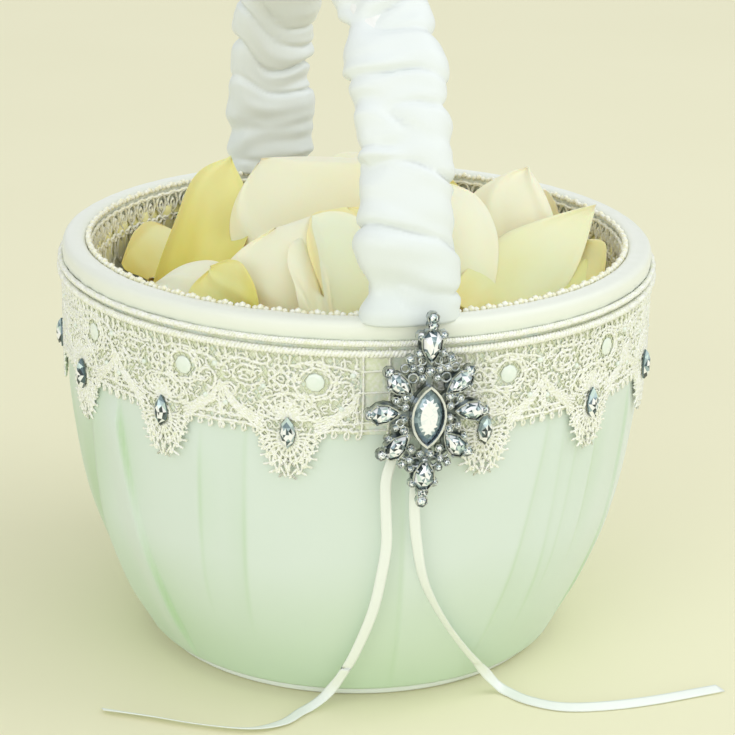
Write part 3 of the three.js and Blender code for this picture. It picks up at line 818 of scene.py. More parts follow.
def worked(lines, start, seed):
    """The flat threads of one repeat, a little uneven as stitched, wrapped round the bowl."""
    out = []
    for flat, closed, thick in lines:
        drawn = [(s + 0.45 * noise.noise(Vector((s * 0.5, z * 0.5, seed))),
                  z + 0.45 * noise.noise(Vector((z * 0.5, s * 0.5, seed + 9)))) for s, z in flat]
        out.append(wrapped(drawn, closed, start, LACE_RADIUS, thick * THREAD_SWELL, 0.12, 0.26))
    return out


def make_lace():
    threads, filled, net = [], [], []
    motif = [(spaced(points, THREAD_STEP, closed), closed, thick) for points, closed, thick in lace_motif()]
    mesh_net = net_lines()
    seeds = random.Random(31)
    for i in range(LACE_COUNT):
        start = LACE_FIRST + LACE_REPEAT * i
        filling = [(spaced(points, THREAD_STEP), False, thick)
                   for points, _, thick in filling_stitches(seeds)]
        threads += worked(motif, start, i * 3.1)
        filled += worked(filling, start, i * 3.1)
        for flat in mesh_net:
            net.append(wrapped(flat, False, start, LACE_RADIUS, NET_THREAD, -0.1, 0.0))
    # the plain end of the lace, cut straight, where it passes behind the brooch
    gap_start, gap_end = -26.7 + LACE_REPEAT / 2, LACE_FIRST - LACE_REPEAT / 2
    for degrees in (gap_start + 0.4, gap_end - 0.4, (gap_start + gap_end) / 2):
        edge = spaced([(0, LACE_VALLEY), (0.3, 102), (0, LACE_TOP + 3)], THREAD_STEP)
        threads.append(wrapped(edge, False, degrees, LACE_RADIUS, 0.8, 0.1, 0.2))
    wide = math.radians(gap_end - gap_start) * LACE_RADIUS
    for height in (95.4, 93.2, 104.0, 110.0):
        line = spaced([(0, height), (wide / 2, height + 0.3), (wide, height)], THREAD_STEP)
        threads.append(wrapped(line, False, gap_start, LACE_RADIUS, 0.7, 0.1, 0.2))
    yarn = make_thread_yarn("guipure_cotton_thread", "#FFFFF8", "#F3F5DC", 1100.0)
    made = piece("lace_threads", thread_mesh(threads), "basket", yarn)
    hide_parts("lace_band")
    filling_piece = piece("lace_filling", thread_mesh(filled), "basket", yarn)
    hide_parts("lace_band")
    net_yarn = make_thread_yarn("lace_net_thread", "#F4F6E2", "#DDE3BC", 1300.0)
    net_piece = piece("lace_net", thread_mesh(net), "basket", net_yarn)
    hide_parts("lace_band")
    return yarn


def make_lace_ground():
    """The lace's dense ground of short stitches, a thin cloth with the leaves' outline."""
    around = 1120
    bm = grid(around, 26)

    def place(u, v):
        degrees = 360 * u + LACE_FIRST - LACE_REPEAT / 2
        since = degrees - (LACE_FIRST - LACE_REPEAT / 2)
        in_gap = since > LACE_REPEAT * LACE_COUNT
        s = math.radians((since % LACE_REPEAT) - LACE_REPEAT / 2) * LACE_RADIUS
        low = LACE_VALLEY if in_gap else leaf_edge(s)
        return at_azimuth(degrees, LACE_RADIUS - 0.42, lerp(low, 117.6, v))

    shape(bm, place)
    bmesh.ops.remove_doubles(bm, verts=bm.verts, dist=0.01)
    made, tree, shader = new_material("lace_ground_stitches", {"Roughness": 0.7, "Sheen Weight": 0.25})
    at = add(tree, "ShaderNodeTexCoord")
    # open cells, about 5 mm, where the satin's pale mint shows through; between them a yellower tone, painted
    # shade of the satin under the dense stitches
    cells = add(tree, "ShaderNodeTexNoise", {"Scale": 170.0, "Detail": 1.0}, {"Vector": (at, "Object")})
    open_cell = add(tree, "ShaderNodeMapRange", {"From Min": 0.50, "From Max": 0.60},
                    {"Value": (cells, "Fac")})
    tint = add(tree, "ShaderNodeMix", {"data_type": "RGBA", 6: colour("#EAF0CE"), 7: colour("#E8F3E4")},
               {0: (open_cell, "Result")})
    stitches = add(tree, "ShaderNodeTexNoise", {"Scale": 1000.0, "Detail": 2.0}, {"Vector": (at, "Object")})
    speck = add(tree, "ShaderNodeMapRange", {"From Min": 0.40, "From Max": 0.66, "To Max": 0.75},
                {"Value": (stitches, "Fac")})
    both = add(tree, "ShaderNodeMix", {"data_type": "RGBA", 7: colour("#FBFCEE")},
               {0: (speck, "Result"), 6: (tint, 2)})
    tree.links.new(both.outputs[2], shader.inputs["Base Color"])
    raise_by(tree, shader, (stitches, "Fac"), 0.5, 0.0004)
    ground = piece("lace_ground", bm, "basket", made)
    thicken(ground, 0.2)
    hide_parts("lace_band")


lace_yarn = make_lace()
make_lace_ground()

# ---------------------------------------------------------------- lace heading cords
# Two twisted cotton cords that finish the lace's top edge, sewn down just under the rim.
# The upper one is finer; each is two plies, so its turns show as slanting dashes.
HEADING_CORDS = [(118.1, 88.95, 1.9, 1.6), (115.3, 89.0, 2.4, 2.1)]


def make_heading():
    lines = []
    for height, radius, thick, lay in HEADING_CORDS:
        turns = round(2 * math.pi * radius / lay)
        steps = turns * 7
        for ply in (0, math.pi):
            line = []
            for i in range(steps):
                a = 2 * math.pi * turns * i / steps + ply
                swing = thick * 0.25
                place = at_azimuth(360 * i / steps, radius + swing * math.cos(a),
                                   height + swing * math.sin(a))
                line.append((*place, thick * 0.27))
            lines.append((line, True))
    made = piece("lace_heading_cords", thread_mesh(lines), "basket", lace_yarn)
    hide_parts("lace_header_cord")


make_heading()

# ---------------------------------------------------------------- lace crystals
# Navette rhinestones, 9 x 4.3 mm, foil-backed glass, sewn over each leaf of the lace.
# Each facet's colour is a painted reflection of the room: slate, grey-blue, white and pale green facets.
CRYSTAL_WIDE = 4.3
CRYSTAL_HIGH = 9.0
CRYSTAL_Z = 92.0
CRYSTAL_BACK = 89.1


def make_foiled_glass():
    made, tree, shader = new_material("foiled_rhinestone_glass", {
        "Roughness": 0.14, "Metallic": 0.25, "Coat Weight": 0.7, "Coat Roughness": 0.03,
    })
    # painted reflection: each facet's colour, from slate to white, stands for the part of the room that it
    # would reflect
    painted_reflection = add(tree, "ShaderNodeAttribute", {"attribute_name": "painted_facet_reflection"})
    ramp = add(tree, "ShaderNodeValToRGB", {}, {"Fac": (painted_reflection, "Fac")})
    stops = [(0.0, "#2B383C"), (0.20, "#62797F"), (0.40, "#A3B8BD"), (0.60, "#CCE0D6"),
             (0.80, "#EEF5F6"), (1.0, "#FFFFFF")]
    ramp.color_ramp.elements[0].color = colour(stops[0][1])
    ramp.color_ramp.elements[1].color = colour(stops[-1][1])
    for place, code in stops[1:-1]:
        ramp.color_ramp.elements.new(place).color = colour(code)
    tree.links.new(ramp.outputs["Color"], shader.inputs["Base Color"])
    return made


def navette_outline(wide, high, count=12):
    """A pointed oval: two arcs that meet at its top and bottom."""
    half, reach = wide / 2, high / 2
    radius = (reach * reach + half * half) / (2 * half)
    open_angle = math.asin(reach / radius)
    side = count // 2
    right = [(radius * math.cos(a) - (radius - half), radius * math.sin(a))
             for a in (lerp(-open_angle, open_angle, i / side) for i in range(side))]
    return right + [(-x, -y) for x, y in right]


def pear_outline(wide, high, count=9):
    """A drop with its point up and its round end down."""
    out = []
    for i in range(count):
        t = 2 * math.pi * i / count
        out.append((-wide * 0.56 * math.sin(t) * abs(math.sin(t / 2)) ** 0.8, high / 2 * math.cos(t)))
    return out


def round_outline(wide, count=7):
    return [(wide / 2 * math.cos(2 * math.pi * i / count), wide / 2 * math.sin(2 * math.pi * i / count))
            for i in range(count)]


def cut_stone(bm, outline, crown, place, chance, painted_reflection_tones=None):
    """Adds a faceted stone: its outline, then (scale, height) of each ring of its crown; each facet gets a
    painted reflection tone, at random or from the given function.
    """
    painted_reflection = bm.faces.layers.float.get("painted_facet_reflection") or bm.faces.layers.float.new("painted_facet_reflection")
    verts = [bm.verts.new((x, y, 0)) for x, y in outline]
    top = bm.faces.new(verts)
    scale_now = 1.0
    for scale, height in crown:
        grown = bmesh.ops.extrude_face_region(bm, geom=[top])["geom"]
        raised = [g for g in grown if isinstance(g, bmesh.types.BMVert)]
        top = next(g for g in grown if isinstance(g, bmesh.types.BMFace))
        for vert in raised:
            vert.co = Vector((vert.co.x * scale / scale_now, vert.co.y * scale / scale_now, height))
        scale_now = scale
        verts += raised
    verts += bmesh.ops.poke(bm, faces=[top])["verts"]
    faces = list({face for vert in verts for face in vert.link_faces})
    bmesh.ops.triangulate(bm, faces=faces)
    faces = {face for vert in verts for face in vert.link_faces}
    # painted reflection: each facet's tone stands for the part of the room that it would reflect
    for face in sorted(faces, key=lambda f: tuple(f.calc_center_median())):
        face[painted_reflection] = chance.choice((0.0, 0.12, 0.28, 0.42, 0.6, 0.8, 0.95, 1.0, 1.0, 1.0))
        if painted_reflection_tones:
            face[painted_reflection] = painted_reflection_tones(face.calc_center_median(), chance)
    bmesh.ops.transform(bm, matrix=place, verts=verts)


def facing_out(degrees, radius, z):
    """The placing of something flat on the bowl's side: X along it, Y up, Z outward."""
    a = math.radians(degrees)
    spot = at_azimuth(degrees, radius, z)
    return Matrix(((math.cos(a), 0, math.sin(a), spot.x), (math.sin(a), 0, -math.cos(a), spot.y),
                   (0, 1, 0, spot.z), (0, 0, 0, 1)))


foiled_glass = make_foiled_glass()


def make_crystals():
    bm = bmesh.new()
    chance = random.Random(5)
    outline = navette_outline(CRYSTAL_WIDE, CRYSTAL_HIGH, 8)
    crown = [(1.02, 0.55), (0.78, 1.4), (0.42, 1.95)]

    # painted reflections: low facets mid grey, upper ones grey-blue and pale green, the rest slate and white
    def painted_reflection_tones(middle, rolls):
        if middle.z < 0.7:
            return 0.15
        if middle.y > 1.0:
            return rolls.choice((0.25, 0.45, 0.6, 0.6, 0.15))
        return rolls.choice((0.0, 0.0, 0.1, 0.9, 1.0, 1.0, 0.4))

    for i in range(LACE_COUNT):
        place = facing_out(LACE_FIRST + LACE_REPEAT * i, CRYSTAL_BACK, CRYSTAL_Z)
        cut_stone(bm, outline, crown, place, chance, painted_reflection_tones)
    made = piece("lace_crystals_cut", bm, "basket", foiled_glass, smooth=False)
    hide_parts(*[f"lace_crystal_{i + 1:02d}" for i in range(LACE_COUNT)])


make_crystals()


def make_sequins():
    # flat round discs of clear crystal organza, and single pearls, sewn among the lace's scrolls
    made, tree, shader = new_material("pearly_sewn_beads", {
        "Roughness": 0.25, "Coat Weight": 0.6, "Coat Roughness": 0.1, "Sheen Weight": 0.3,
    })
    tint_by(tree, shader, (grain(tree, 500.0, 2.0), "Fac"), "#E2EFDF", "#F4F9F0")
    bm = bmesh.new()
    for i in range(LACE_COUNT):
        start = LACE_FIRST + LACE_REPEAT * i
        for s, z, wide, thick, sides in ((7.2, 106.6, 5.4, 0.8, 9),
                                         (17.4, 109.0, 1.9, 1.6, 8), (-7.0, 104.4, 1.6, 1.4, 8),
                                         (14.4, 99.4, 1.7, 1.4, 8), (-18.0, 98.2, 1.7, 1.4, 8)):
            new = bmesh.ops.create_uvsphere(bm, u_segments=sides, v_segments=6, radius=1.0)["verts"]
            bmesh.ops.scale(bm, verts=new, vec=(wide / 2, wide / 2, thick / 2))
            place = facing_out(start + math.degrees(s / LACE_RADIUS), LACE_RADIUS + 0.15, z)
            bmesh.ops.transform(bm, verts=new, matrix=place)
    piece("lace_beads", bm, "basket", made)


make_sequins()

# ---------------------------------------------------------------- handle
# A flat plastic band bent into a hoop, its ends riveted inside the bowl's wall, wrapped in
# batting and drawn into a satin sleeve that is longer than the hoop, so that it ruches.
HOOP_X = -7.8
HOOP_HALF_SPAN = 83.2
HOOP_SPRING = 126.0
HOOP_RISE = 105.0
HOOP_LEAN = math.radians(5)
SLEEVE_FOOT = 123.4
SLEEVE_WIDE = 25.0
SLEEVE_DEEP = 11.0


def hoop_line(foot, steps):
    """Even points round the hoop from the front foot to the back one."""
    points = [(HOOP_X, -HOOP_HALF_SPAN, foot), (HOOP_X, -HOOP_HALF_SPAN, HOOP_SPRING)]
    for i in range(1, 64):
        a = math.pi * i / 64
        z = HOOP_SPRING + HOOP_RISE * math.sin(a)
        y = -HOOP_HALF_SPAN * math.cos(a) + math.tan(HOOP_LEAN) * (z - HOOP_SPRING)
        points.append((HOOP_X, y, z))
    points += [(HOOP_X, HOOP_HALF_SPAN, HOOP_SPRING), (HOOP_X, HOOP_HALF_SPAN, foot)]
    return even_route(points, steps)


def ruched(gone, around):
    """How far the gathered sleeve stands out, in mm: broad rolls with sharp creases between."""
    slant = around * 0.26 * math.sin(gone * 0.043)
    slant += 7.0 * noise.noise(Vector((gone * 0.02, around * 0.05, 7)))
    roll = noise.noise(Vector(((gone + slant * 1.5) / 12.5, around / 30, 1.3)))
    drawn = 0.35 + 0.9 * abs(noise.noise(Vector((gone / 16, around / 14, 2.2))))
    crease = 1 - min(abs(roll) * 4.2, 1)
    small = noise.noise(Vector(((gone + slant * 1.4) / 4.6, around / 12, 9.1)))
    lump = noise.noise(Vector((gone / 21, around / 22, 4.4)))
    at_edge = 0.8 + 0.5 * min(abs(around) / (SLEEVE_WIDE / 2), 1) ** 3
    return at_edge * (0.5 + 1.9 * roll + 1.7 * lump + 0.8 * small - 3.0 * drawn * crease ** 2)


def make_sleeve(name, wide, deep, foot, steps, around_steps, bulge, material):
    line, length = hoop_line(foot, steps)
    bm = grid(around_steps, steps + 1)

    def place(u, v):
        i = min(int(round(v * steps)), steps)
        here = Vector(line[i][:3])
        along = (Vector(line[min(i + 1, steps)][:3]) - Vector(line[max(i - 1, 0)][:3])).normalized()
        side = Vector((1, 0, 0))
        out = side.cross(along).normalized() * -1
        a = 2 * math.pi * u
        c, s = math.cos(a), math.sin(a)
        x = math.copysign(abs(c) ** 0.72, c) * wide / 2
        y = math.copysign(abs(s) ** 0.80, s) * deep / 2
        gone = v * length
        from_foot = min(gone, length - gone)
        flare = 1.2 * math.exp(-(from_foot / 5.0) ** 2)
        push = (bulge(gone, x + y) if bulge else 0) * ease(0, 5, from_foot) + flare
        edge = Vector((x / wide, y / deep)).normalized()
        return here + side * (x + edge.x * push) + out * (y + edge.y * push)

    shape(bm, place)
    bmesh.ops.remove_doubles(bm, verts=bm.verts, dist=1e-3)
    for _ in range(2):
        open_edges = [e for e in bm.edges if e.is_boundary]
        if open_edges:
            bmesh.ops.holes_fill(bm, edges=open_edges, sides=0)
    bmesh.ops.recalc_face_normals(bm, faces=bm.faces)
    return piece(name, bm, "basket", material)


def make_batting():
    made, tree, shader = new_material("polyester_batting", {"Roughness": 0.95, "Sheen Weight": 0.3})
    fluff = grain(tree, 400.0, 5.0)
    tint_by(tree, shader, (fluff, "Fac"), "#E4E4DE", "#FAFAF6")
    raise_by(tree, shader, (fluff, "Fac"), 0.5, 0.001)
    return made


def make_moulded(name, light, dark, metallic, roughness, scale):
    """A hard finish with the faint mottling of its making."""
    made, tree, shader = new_material(name, {"Roughness": roughness, "Metallic": metallic})
    mottle = grain(tree, scale, 3.0)
    tint_by(tree, shader, (mottle, "Fac"), dark, light)
    raise_by(tree, shader, (mottle, "Fac"), 0.1, 0.0002)
    return made


# painted shade: the sleeve's satin is drawn darker low down, near the petals
sleeve_satin = make_satin("sleeve_white_satin", "#E7ECE8", "#E1E8E2", 0.12, 0.16, 0.08)
sleeve = make_sleeve("handle_sleeve_ruched", SLEEVE_WIDE, SLEEVE_DEEP, SLEEVE_FOOT, 460, 72, ruched,
                     sleeve_satin)
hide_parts("handle_sleeve")
padding = make_sleeve("handle_padding_batting", 20.0, 7.0, SLEEVE_FOOT + 1.5, 120, 28, None,
                      make_batting())
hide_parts("handle_padding")
finish_node("handle_band", make_moulded("moulded_white_band", "#F2F1EA", "#E6E5DC", 0.0, 0.45, 120.0))
rivet_metal = make_moulded("nickel_rivet", "#D9D9D6", "#B9B9B4", 1.0, 0.3, 900.0)
for i in range(4):
    finish_node(f"handle_rivet_{i + 1}", rivet_metal)

# ---------------------------------------------------------------- brooch
# A cast silver-tone openwork frame with a big navette in a smooth bezel, eight pears and a
# ring of small round stones in prong cups, joined by open scrolls and pinned through the lace.
BROOCH_X = -5.4
BROOCH_BACK = -92.2
BROOCH_Z = 99.5
BROOCH_TILT = math.radians(2)
STONE_FLOOR = 1.5
PEARS = [(0, 19.6, 180, 6.0, 8.4), (8.3, 9, 128, 5.2, 7.6), (11.9, 1, 88, 5.4, 7.2),
         (8, -8.3, 42, 5.4, 7.6), (0, -16.8, 0, 6.0, 8.0), (-8.3, 9, -128, 5.2, 7.6),
         (-11.9, 1, -88, 5.4, 7.2), (-8, -8.3, -42, 5.4, 7.6)]
TIPS = [(0, 24.9), (0, 27.2), (11.1, 12.3), (15.8, 0.9), (11.9, -10.7), (0, -22), (0, -24.6),
        (-11.1, 12.3), (-15.8, 0.9), (-11.9, -10.7)]
TIP_WIDE = 2.7
# small round stones on the right of the frame, mirrored to the left: place and width
SMALL_STONES = [(2.1, 10.7, 1.8), (2.7, 13.0, 1.6), (4.9, 13.6, 1.7), (5.7, 16.0, 2.0), (3.4, 17.6, 1.7),
                (3.1, 22.4, 2.1), (6.2, 5.4, 2.1), (6.3, 2.6, 1.6), (6.3, -0.8, 1.6), (6.2, -4.0, 2.0),
                (8.7, -3.0, 1.6), (8.9, 4.6, 1.6), (3.9, -9.4, 1.8), (1.4, -11.0, 1.7), (4.3, -12.4, 1.8),
                (6.4, -13.6, 1.7), (4.0, -14.9, 1.7), (3.0, -19.2, 1.9), (10.6, -6.2, 1.5), (10.9, 8.1, 1.5)]
SCROLLS = [(4.0, 15.4, 1.5), (4.6, 10.6, 1.3), (7.4, 3.9, 1.2), (7.4, -1.9, 1.1), (2.4, -13.2, 1.3),
           (5.4, -10.9, 1.2), (2.2, 15.4, 1.1), (6.9, 13.4, 1.1)]


def on_brooch(x, y, out=0.0, turned=0.0):
    tilt = Matrix(((math.cos(BROOCH_TILT), math.sin(BROOCH_TILT), 0, BROOCH_X), (0, 0, -1, BROOCH_BACK),
                   (-math.sin(BROOCH_TILT), math.cos(BROOCH_TILT), 0, BROOCH_Z), (0, 0, 0, 1)))
    return tilt @ Matrix.Translation((x, y, out)) @ Matrix.Rotation(math.radians(turned), 4, "Z")


def make_cup(bm, outline, place, low, high, wall, grow):
    """An open cup round a stone: a strip of metal that follows its outline."""
    ring = [bm.verts.new((x * grow, y * grow, low)) for x, y in outline]
    edges = [bm.edges.new((a, b)) for a, b in zip(ring, ring[1:] + ring[:1])]
    raised = bmesh.ops.extrude_edge_only(bm, edges=edges)["geom"]
    raised = [g for g in raised if isinstance(g, bmesh.types.BMVert)]
    bmesh.ops.translate(bm, verts=raised, vec=(0, 0, high - low))
    strip = list({face for vert in ring for face in vert.link_faces})
    walls = bmesh.ops.solidify(bm, geom=strip, thickness=wall)["geom"]
    verts = {g for g in walls if isinstance(g, bmesh.types.BMVert)}
    verts.update(ring + raised)
    verts.update(vert for face in list(strip) if face.is_valid for vert in face.verts)
    bmesh.ops.transform(bm, matrix=place, verts=list(verts))


def make_prong(bm, place, radius):
    ball = bmesh.ops.create_uvsphere(bm, u_segments=7, v_segments=5, radius=radius)
    bmesh.ops.transform(bm, matrix=place, verts=ball["verts"])


def make_brooch_stones():
    bm = bmesh.new()
    metal = bmesh.new()
    chance = random.Random(21)
    for x, y, turned, wide, high in PEARS:
        outline = pear_outline(wide, high)
        place = on_brooch(x, y, STONE_FLOOR, turned)
        cut_stone(bm, outline, [(1.0, 1.0), (0.74, 2.1), (0.42, 2.6)], place, chance)
        make_cup(metal, outline, place, -0.6, 1.25, 0.35, 1.10)
        for px, py in ((-0.46, -0.30), (0.46, -0.30), (-0.32, 0.16), (0.32, 0.16), (0, 0.5), (0, -0.52)):
            make_prong(metal, place @ Matrix.Translation((px * wide, py * high, 1.5)), 0.42)
    rounds = [(x, y, TIP_WIDE) for x, y in TIPS] + [(0, 12.4, 2.1), (0, -12.7, 1.8)]
    for x, y, wide in SMALL_STONES:
        rounds += [(x, y, wide), (-x, y, wide)]
    for x, y, wide in rounds:
        outline = round_outline(wide)
        place = on_brooch(x, y, STONE_FLOOR - 0.1, chance.uniform(0, 40))
        cut_stone(bm, outline, [(1.0, 0.7), (0.78, 1.3), (0.45, 1.55)], place, chance)
        make_cup(metal, outline, place, -0.6, 0.85, 0.25, 1.12)
        for i in range(4):
            a = math.radians(45 + 90 * i)
            reach = wide * 0.52
            beside = Matrix.Translation((reach * math.cos(a), reach * math.sin(a), 0.95))
            make_prong(metal, place @ beside, 0.3)

    # painted reflections: grey facets round the rim, dark and white at the ends, white in the middle
    def centre_painted_reflections(middle, rolls):
        off = math.hypot(middle.x / 4.0, middle.y / 7.7)
        if off > 0.62:
            return rolls.choice((0.2, 0.3, 0.38, 0.25))
        if abs(middle.y) > 4.6:
            return rolls.choice((0.0, 0.2, 0.75))
        return rolls.choice((0.95, 1.0, 1.0, 0.85))

    centre = on_brooch(0, 0, STONE_FLOOR)
    cut_stone(bm, navette_outline(7.9, 15.2, 20), [(1.0, 1.3), (0.80, 2.05), (0.60, 2.35), (0.35, 2.42)],
              centre, chance, centre_painted_reflections)
    stones = piece("brooch_stones", bm, "basket", foiled_glass, smooth=False)
    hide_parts("brooch_centre_stone", *PEAR_NODES)
    bmesh.ops.recalc_face_normals(metal, faces=metal.faces)
    return metal


def make_silver(name, light, dark, roughness):
    """Silver-tone plated casting: bright, a little tarnished where it isn't rubbed."""
    made, tree, shader = new_material(name, {"Metallic": 1.0})
    wear = grain(tree, 350.0, 3.0)
    spread = add(tree, "ShaderNodeMapRange", {"From Min": 0.35, "From Max": 0.62}, {"Value": (wear, "Fac")})
    tint_by(tree, shader, (spread, "Result"), dark, light)
    dull = add(tree, "ShaderNodeMapRange", {"To Min": roughness + 0.12, "To Max": roughness},
               {"Value": (wear, "Fac")})
    tree.links.new(dull.outputs["Result"], shader.inputs["Roughness"])
    return made


PEAR_NODES = [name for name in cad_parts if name.startswith("brooch_pear")]
cups = make_brooch_stones()
antique_silver = make_silver("antique_silver_casting", "#D9DEDE", "#7C8788", 0.22)
piece("brooch_cups", cups, "basket", antique_silver, smooth=False)


def make_scrolls():
    lines = []
    for x, y, radius in SCROLLS:
        for side in (-1, 1):
            ring = []
            for i in range(12):
                a = 2 * math.pi * i / 12
                spot = on_brooch(side * (x + radius * math.cos(a)), y + radius * math.sin(a), 1.9).translation
                ring.append((*spot, 0.34))
            lines.append((ring, True))
    piece("brooch_scrolls", thread_mesh(lines, 1), "basket", antique_silver)


make_scrolls()
finish_node("brooch_frame", make_silver("dark_silver_back", "#8C9596", "#3C4445", 0.3))
finish_node("brooch_bezel", make_silver("polished_silver_bezel", "#F6F9FF", "#DDE2EA", 0.2))
pin_steel = make_moulded("drawn_steel_pin", "#D0D2D3", "#A9ACAE", 1.0, 0.25, 700.0)
for node in ("brooch_pin_stem", "brooch_pin_joint", "brooch_pin_catch"):
    finish_node(node, pin_steel)

# ---------------------------------------------------------------- rose petals
# Loose silk petals heaped in the bowl: each is one cut piece of thin polyester, hot-pressed
# into a cup with a curled edge. Its colour runs from cream at its tip to deep yellow towards its base, which
# is painted shade.
PETAL_ACROSS = 22
PETAL_ALONG = 30
HEAP_RADIUS = 75.0
HEAP_TOP = 146.0
PETAL_THICK = 0.25
# each petal: base and tip (mm), the side its inner face looks to, width, cup across (degrees),
# bend along (degrees), curl of its side edges (degrees), and its shade, which of the silk's painted tones it
# gets, cream where lit and deeper in shade
PETALS = [
    ("front_strip", (-27, -70, 105), (-29, -46, 137), (0.3, -0.85, 0.3), 13, -50, -24, -10, "cream"),
    ("front", (-23, -67, 103), (-34, -38, 139), (-0.3, -0.85, 0.35), 50, -34, -34, -24, "cream"),
    ("front_right", (-6, -66, 104), (-12, -34, 142), (0.2, -0.95, 0.2), 40, 34, -20, -20, "yellow"),
    ("top", (6, -26, 112), (-29, 9, 146), (-0.25, -0.85, 0.45), 52, -30, -26, -26, "cream"),
    ("left_tall", (-66, -22, 99), (-34, 26, 142), (0.25, -0.75, 0.55), 30, 150, -14, 0, "deep"),
    ("small_left", (-45, -58, 108), (-53, -38, 127), (-0.5, -0.7, 0.4), 22, 50, -20, 0, "deep"),
    ("low_left", (-42, -54, 111), (-68, -24, 120), (-0.3, -0.4, 0.85), 34, -40, -36, -40, "cream"),
    ("left_under", (-38, -50, 104), (-58, -20, 108), (-0.3, -0.4, 0.8), 34, 45, 25, 0, "yellow"),
    ("right_inner", (12, -58, 106), (23, -12, 142), (-0.15, -0.9, 0.3), 32, -35, -22, -24, "cream"),
    ("right_pointed", (30, -26, 104), (56, 6, 140), (-0.35, -0.9, 0.1), 32, -26, -12, -20, "cream"),
    ("right_curled", (12, -65, 118), (72, -10, 129), (-0.15, -0.75, 0.55), 26, -60, 30, 30, "green"),
    ("right_gap", (50, -6, 110), (66, 10, 121), (-0.4, -0.8, 0.4), 22, -35, 20, -20, "cream"),
    ("right_deep", (36, -53, 104), (66, -21, 117), (-0.4, -0.75, 0.45), 30, 40, 10, 0, "deep"),
    ("right_low", (46, -48, 103), (66, -22, 112), (-0.5, -0.6, 0.6), 28, 50, 20, 0, "yellow"),
    ("right_edge", (58, -36, 106), (67, -14, 120), (-0.7, -0.6, 0.3), 22, 40, 20, 0, "yellow"),
    ("middle", (-5, -35, 108), (5, 12, 128), (0, -0.4, 0.9), 50, 30, 30, 0, "yellow"),
    ("middle_left", (-40, -30, 104), (-30, 22, 124), (-0.1, -0.5, 0.8), 48, 35, 20, 0, "yellow"),
    ("middle_right", (30, -30, 106), (36, 22, 124), (0.1, -0.4, 0.9), 48, 30, 20, 0, "cream"),
    ("back_left", (-50, 10, 106), (-28, 50, 120), (-0.4, 0.5, 0.7), 46, 35, -20, -40, "cream"),
    ("back_middle", (-8, 22, 110), (14, 42, 130), (0.1, 0.5, 0.8), 40, 30, -30, -30, "cream"),
    ("back_right", (40, 10, 108), (30, 54, 124), (0.4, 0.5, 0.7), 46, 35, -20, -40, "yellow"),
    ("back_low", (28, 46, 106), (-2, 66, 116), (0.1, 0.5, 0.8), 36, 30, -20, -20, "cream"),
    ("back_side", (60, -5, 104), (56, 36, 118), (0.4, 0.1, 0.9), 40, -30, 20, 20, "cream"),
    ("wall_back", (-22, 60, 104), (-44, 54, 112), (-0.2, -0.5, 0.8), 36, 30, -20, -20, "cream"),
    ("wall_back_right", (52, 44, 106), (30, 62, 124), (-0.3, -0.5, 0.8), 40, -30, 15, -20, "yellow"),
    ("wall_right", (70, 12, 106), (60, 40, 121), (-0.5, -0.3, 0.8), 36, 30, 15, -20, "cream"),
    ("wall_back_left", (-60, 30, 102), (-46, 54, 113), (0.4, -0.5, 0.8), 36, -30, 20, -20, "yellow"),
    ("centre_top", (-2, -8, 118), (20, 26, 138), (0.1, -0.4, 0.9), 42, 34, -20, -30, "cream"),
    ("under_left", (-62, -8, 100), (-10, -18, 108), (0, 0, 1), 58, 20, -15, 0, "yellow"),
    ("under_right", (64, 8, 100), (12, -8, 110), (0, 0, 1), 58, 20, -15, 0, "yellow"),
    ("under_front", (-20, -68, 103), (-6, -20, 108), (0, 0, 1), 56, 20, -15, 0, "yellow"),
    ("under_front_right", (30, -62, 102), (14, -14, 108), (0, 0, 1), 56, 20, -15, 0, "deep"),
    ("under_back", (0, 68, 101), (-4, 16, 110), (0, 0, 1), 58, 20, -15, 0, "yellow"),
    ("under_back_left", (-48, 50, 100), (-22, 8, 108), (0, 0, 1), 54, 20, -15, 0, "cream"),
    ("under_back_right", (48, 48, 100), (24, 8, 108), (0, 0, 1), 54, 20, -15, 0, "yellow"),
]
# one silk in painted lit and shaded tones, cream for lit petals, yellow and deep for painted shade, each from
# tip to middle to base
PETAL_PAINTED_TONES = {
    "cream": ("#FBF3D2", "#F9EDBE", "#F1DA86"), "yellow": ("#F8EAAE", "#F4DF8C", "#E9CA5C"),
    "deep": ("#F1E79C", "#E5D66A", "#D6BD46"), "green": ("#F6EFC2", "#F3E9A6", "#EED572"),
}
# under the handle the petals keep clear of it over the whole way that they lift out
LIFT = 64.0
UNDER_HANDLE = (-22.5, 7.0)
HANDLE_ROOM = 8.0
PETAL_GAP = 1.1


def handle_room(z, room):
    """How far to the front and the back a petal may reach under the handle."""
    up = min(max((z + LIFT - HOOP_SPRING) / HOOP_RISE, 0.0), 0.97)
    level = math.sqrt(1 - up * up)
    slope = level / HOOP_HALF_SPAN / math.hypot(level / HOOP_HALF_SPAN, up / HOOP_RISE)
    reach = HOOP_HALF_SPAN * level - room / slope
    lean = math.tan(HOOP_LEAN) * up * HOOP_RISE
    return -reach + lean, reach + lean


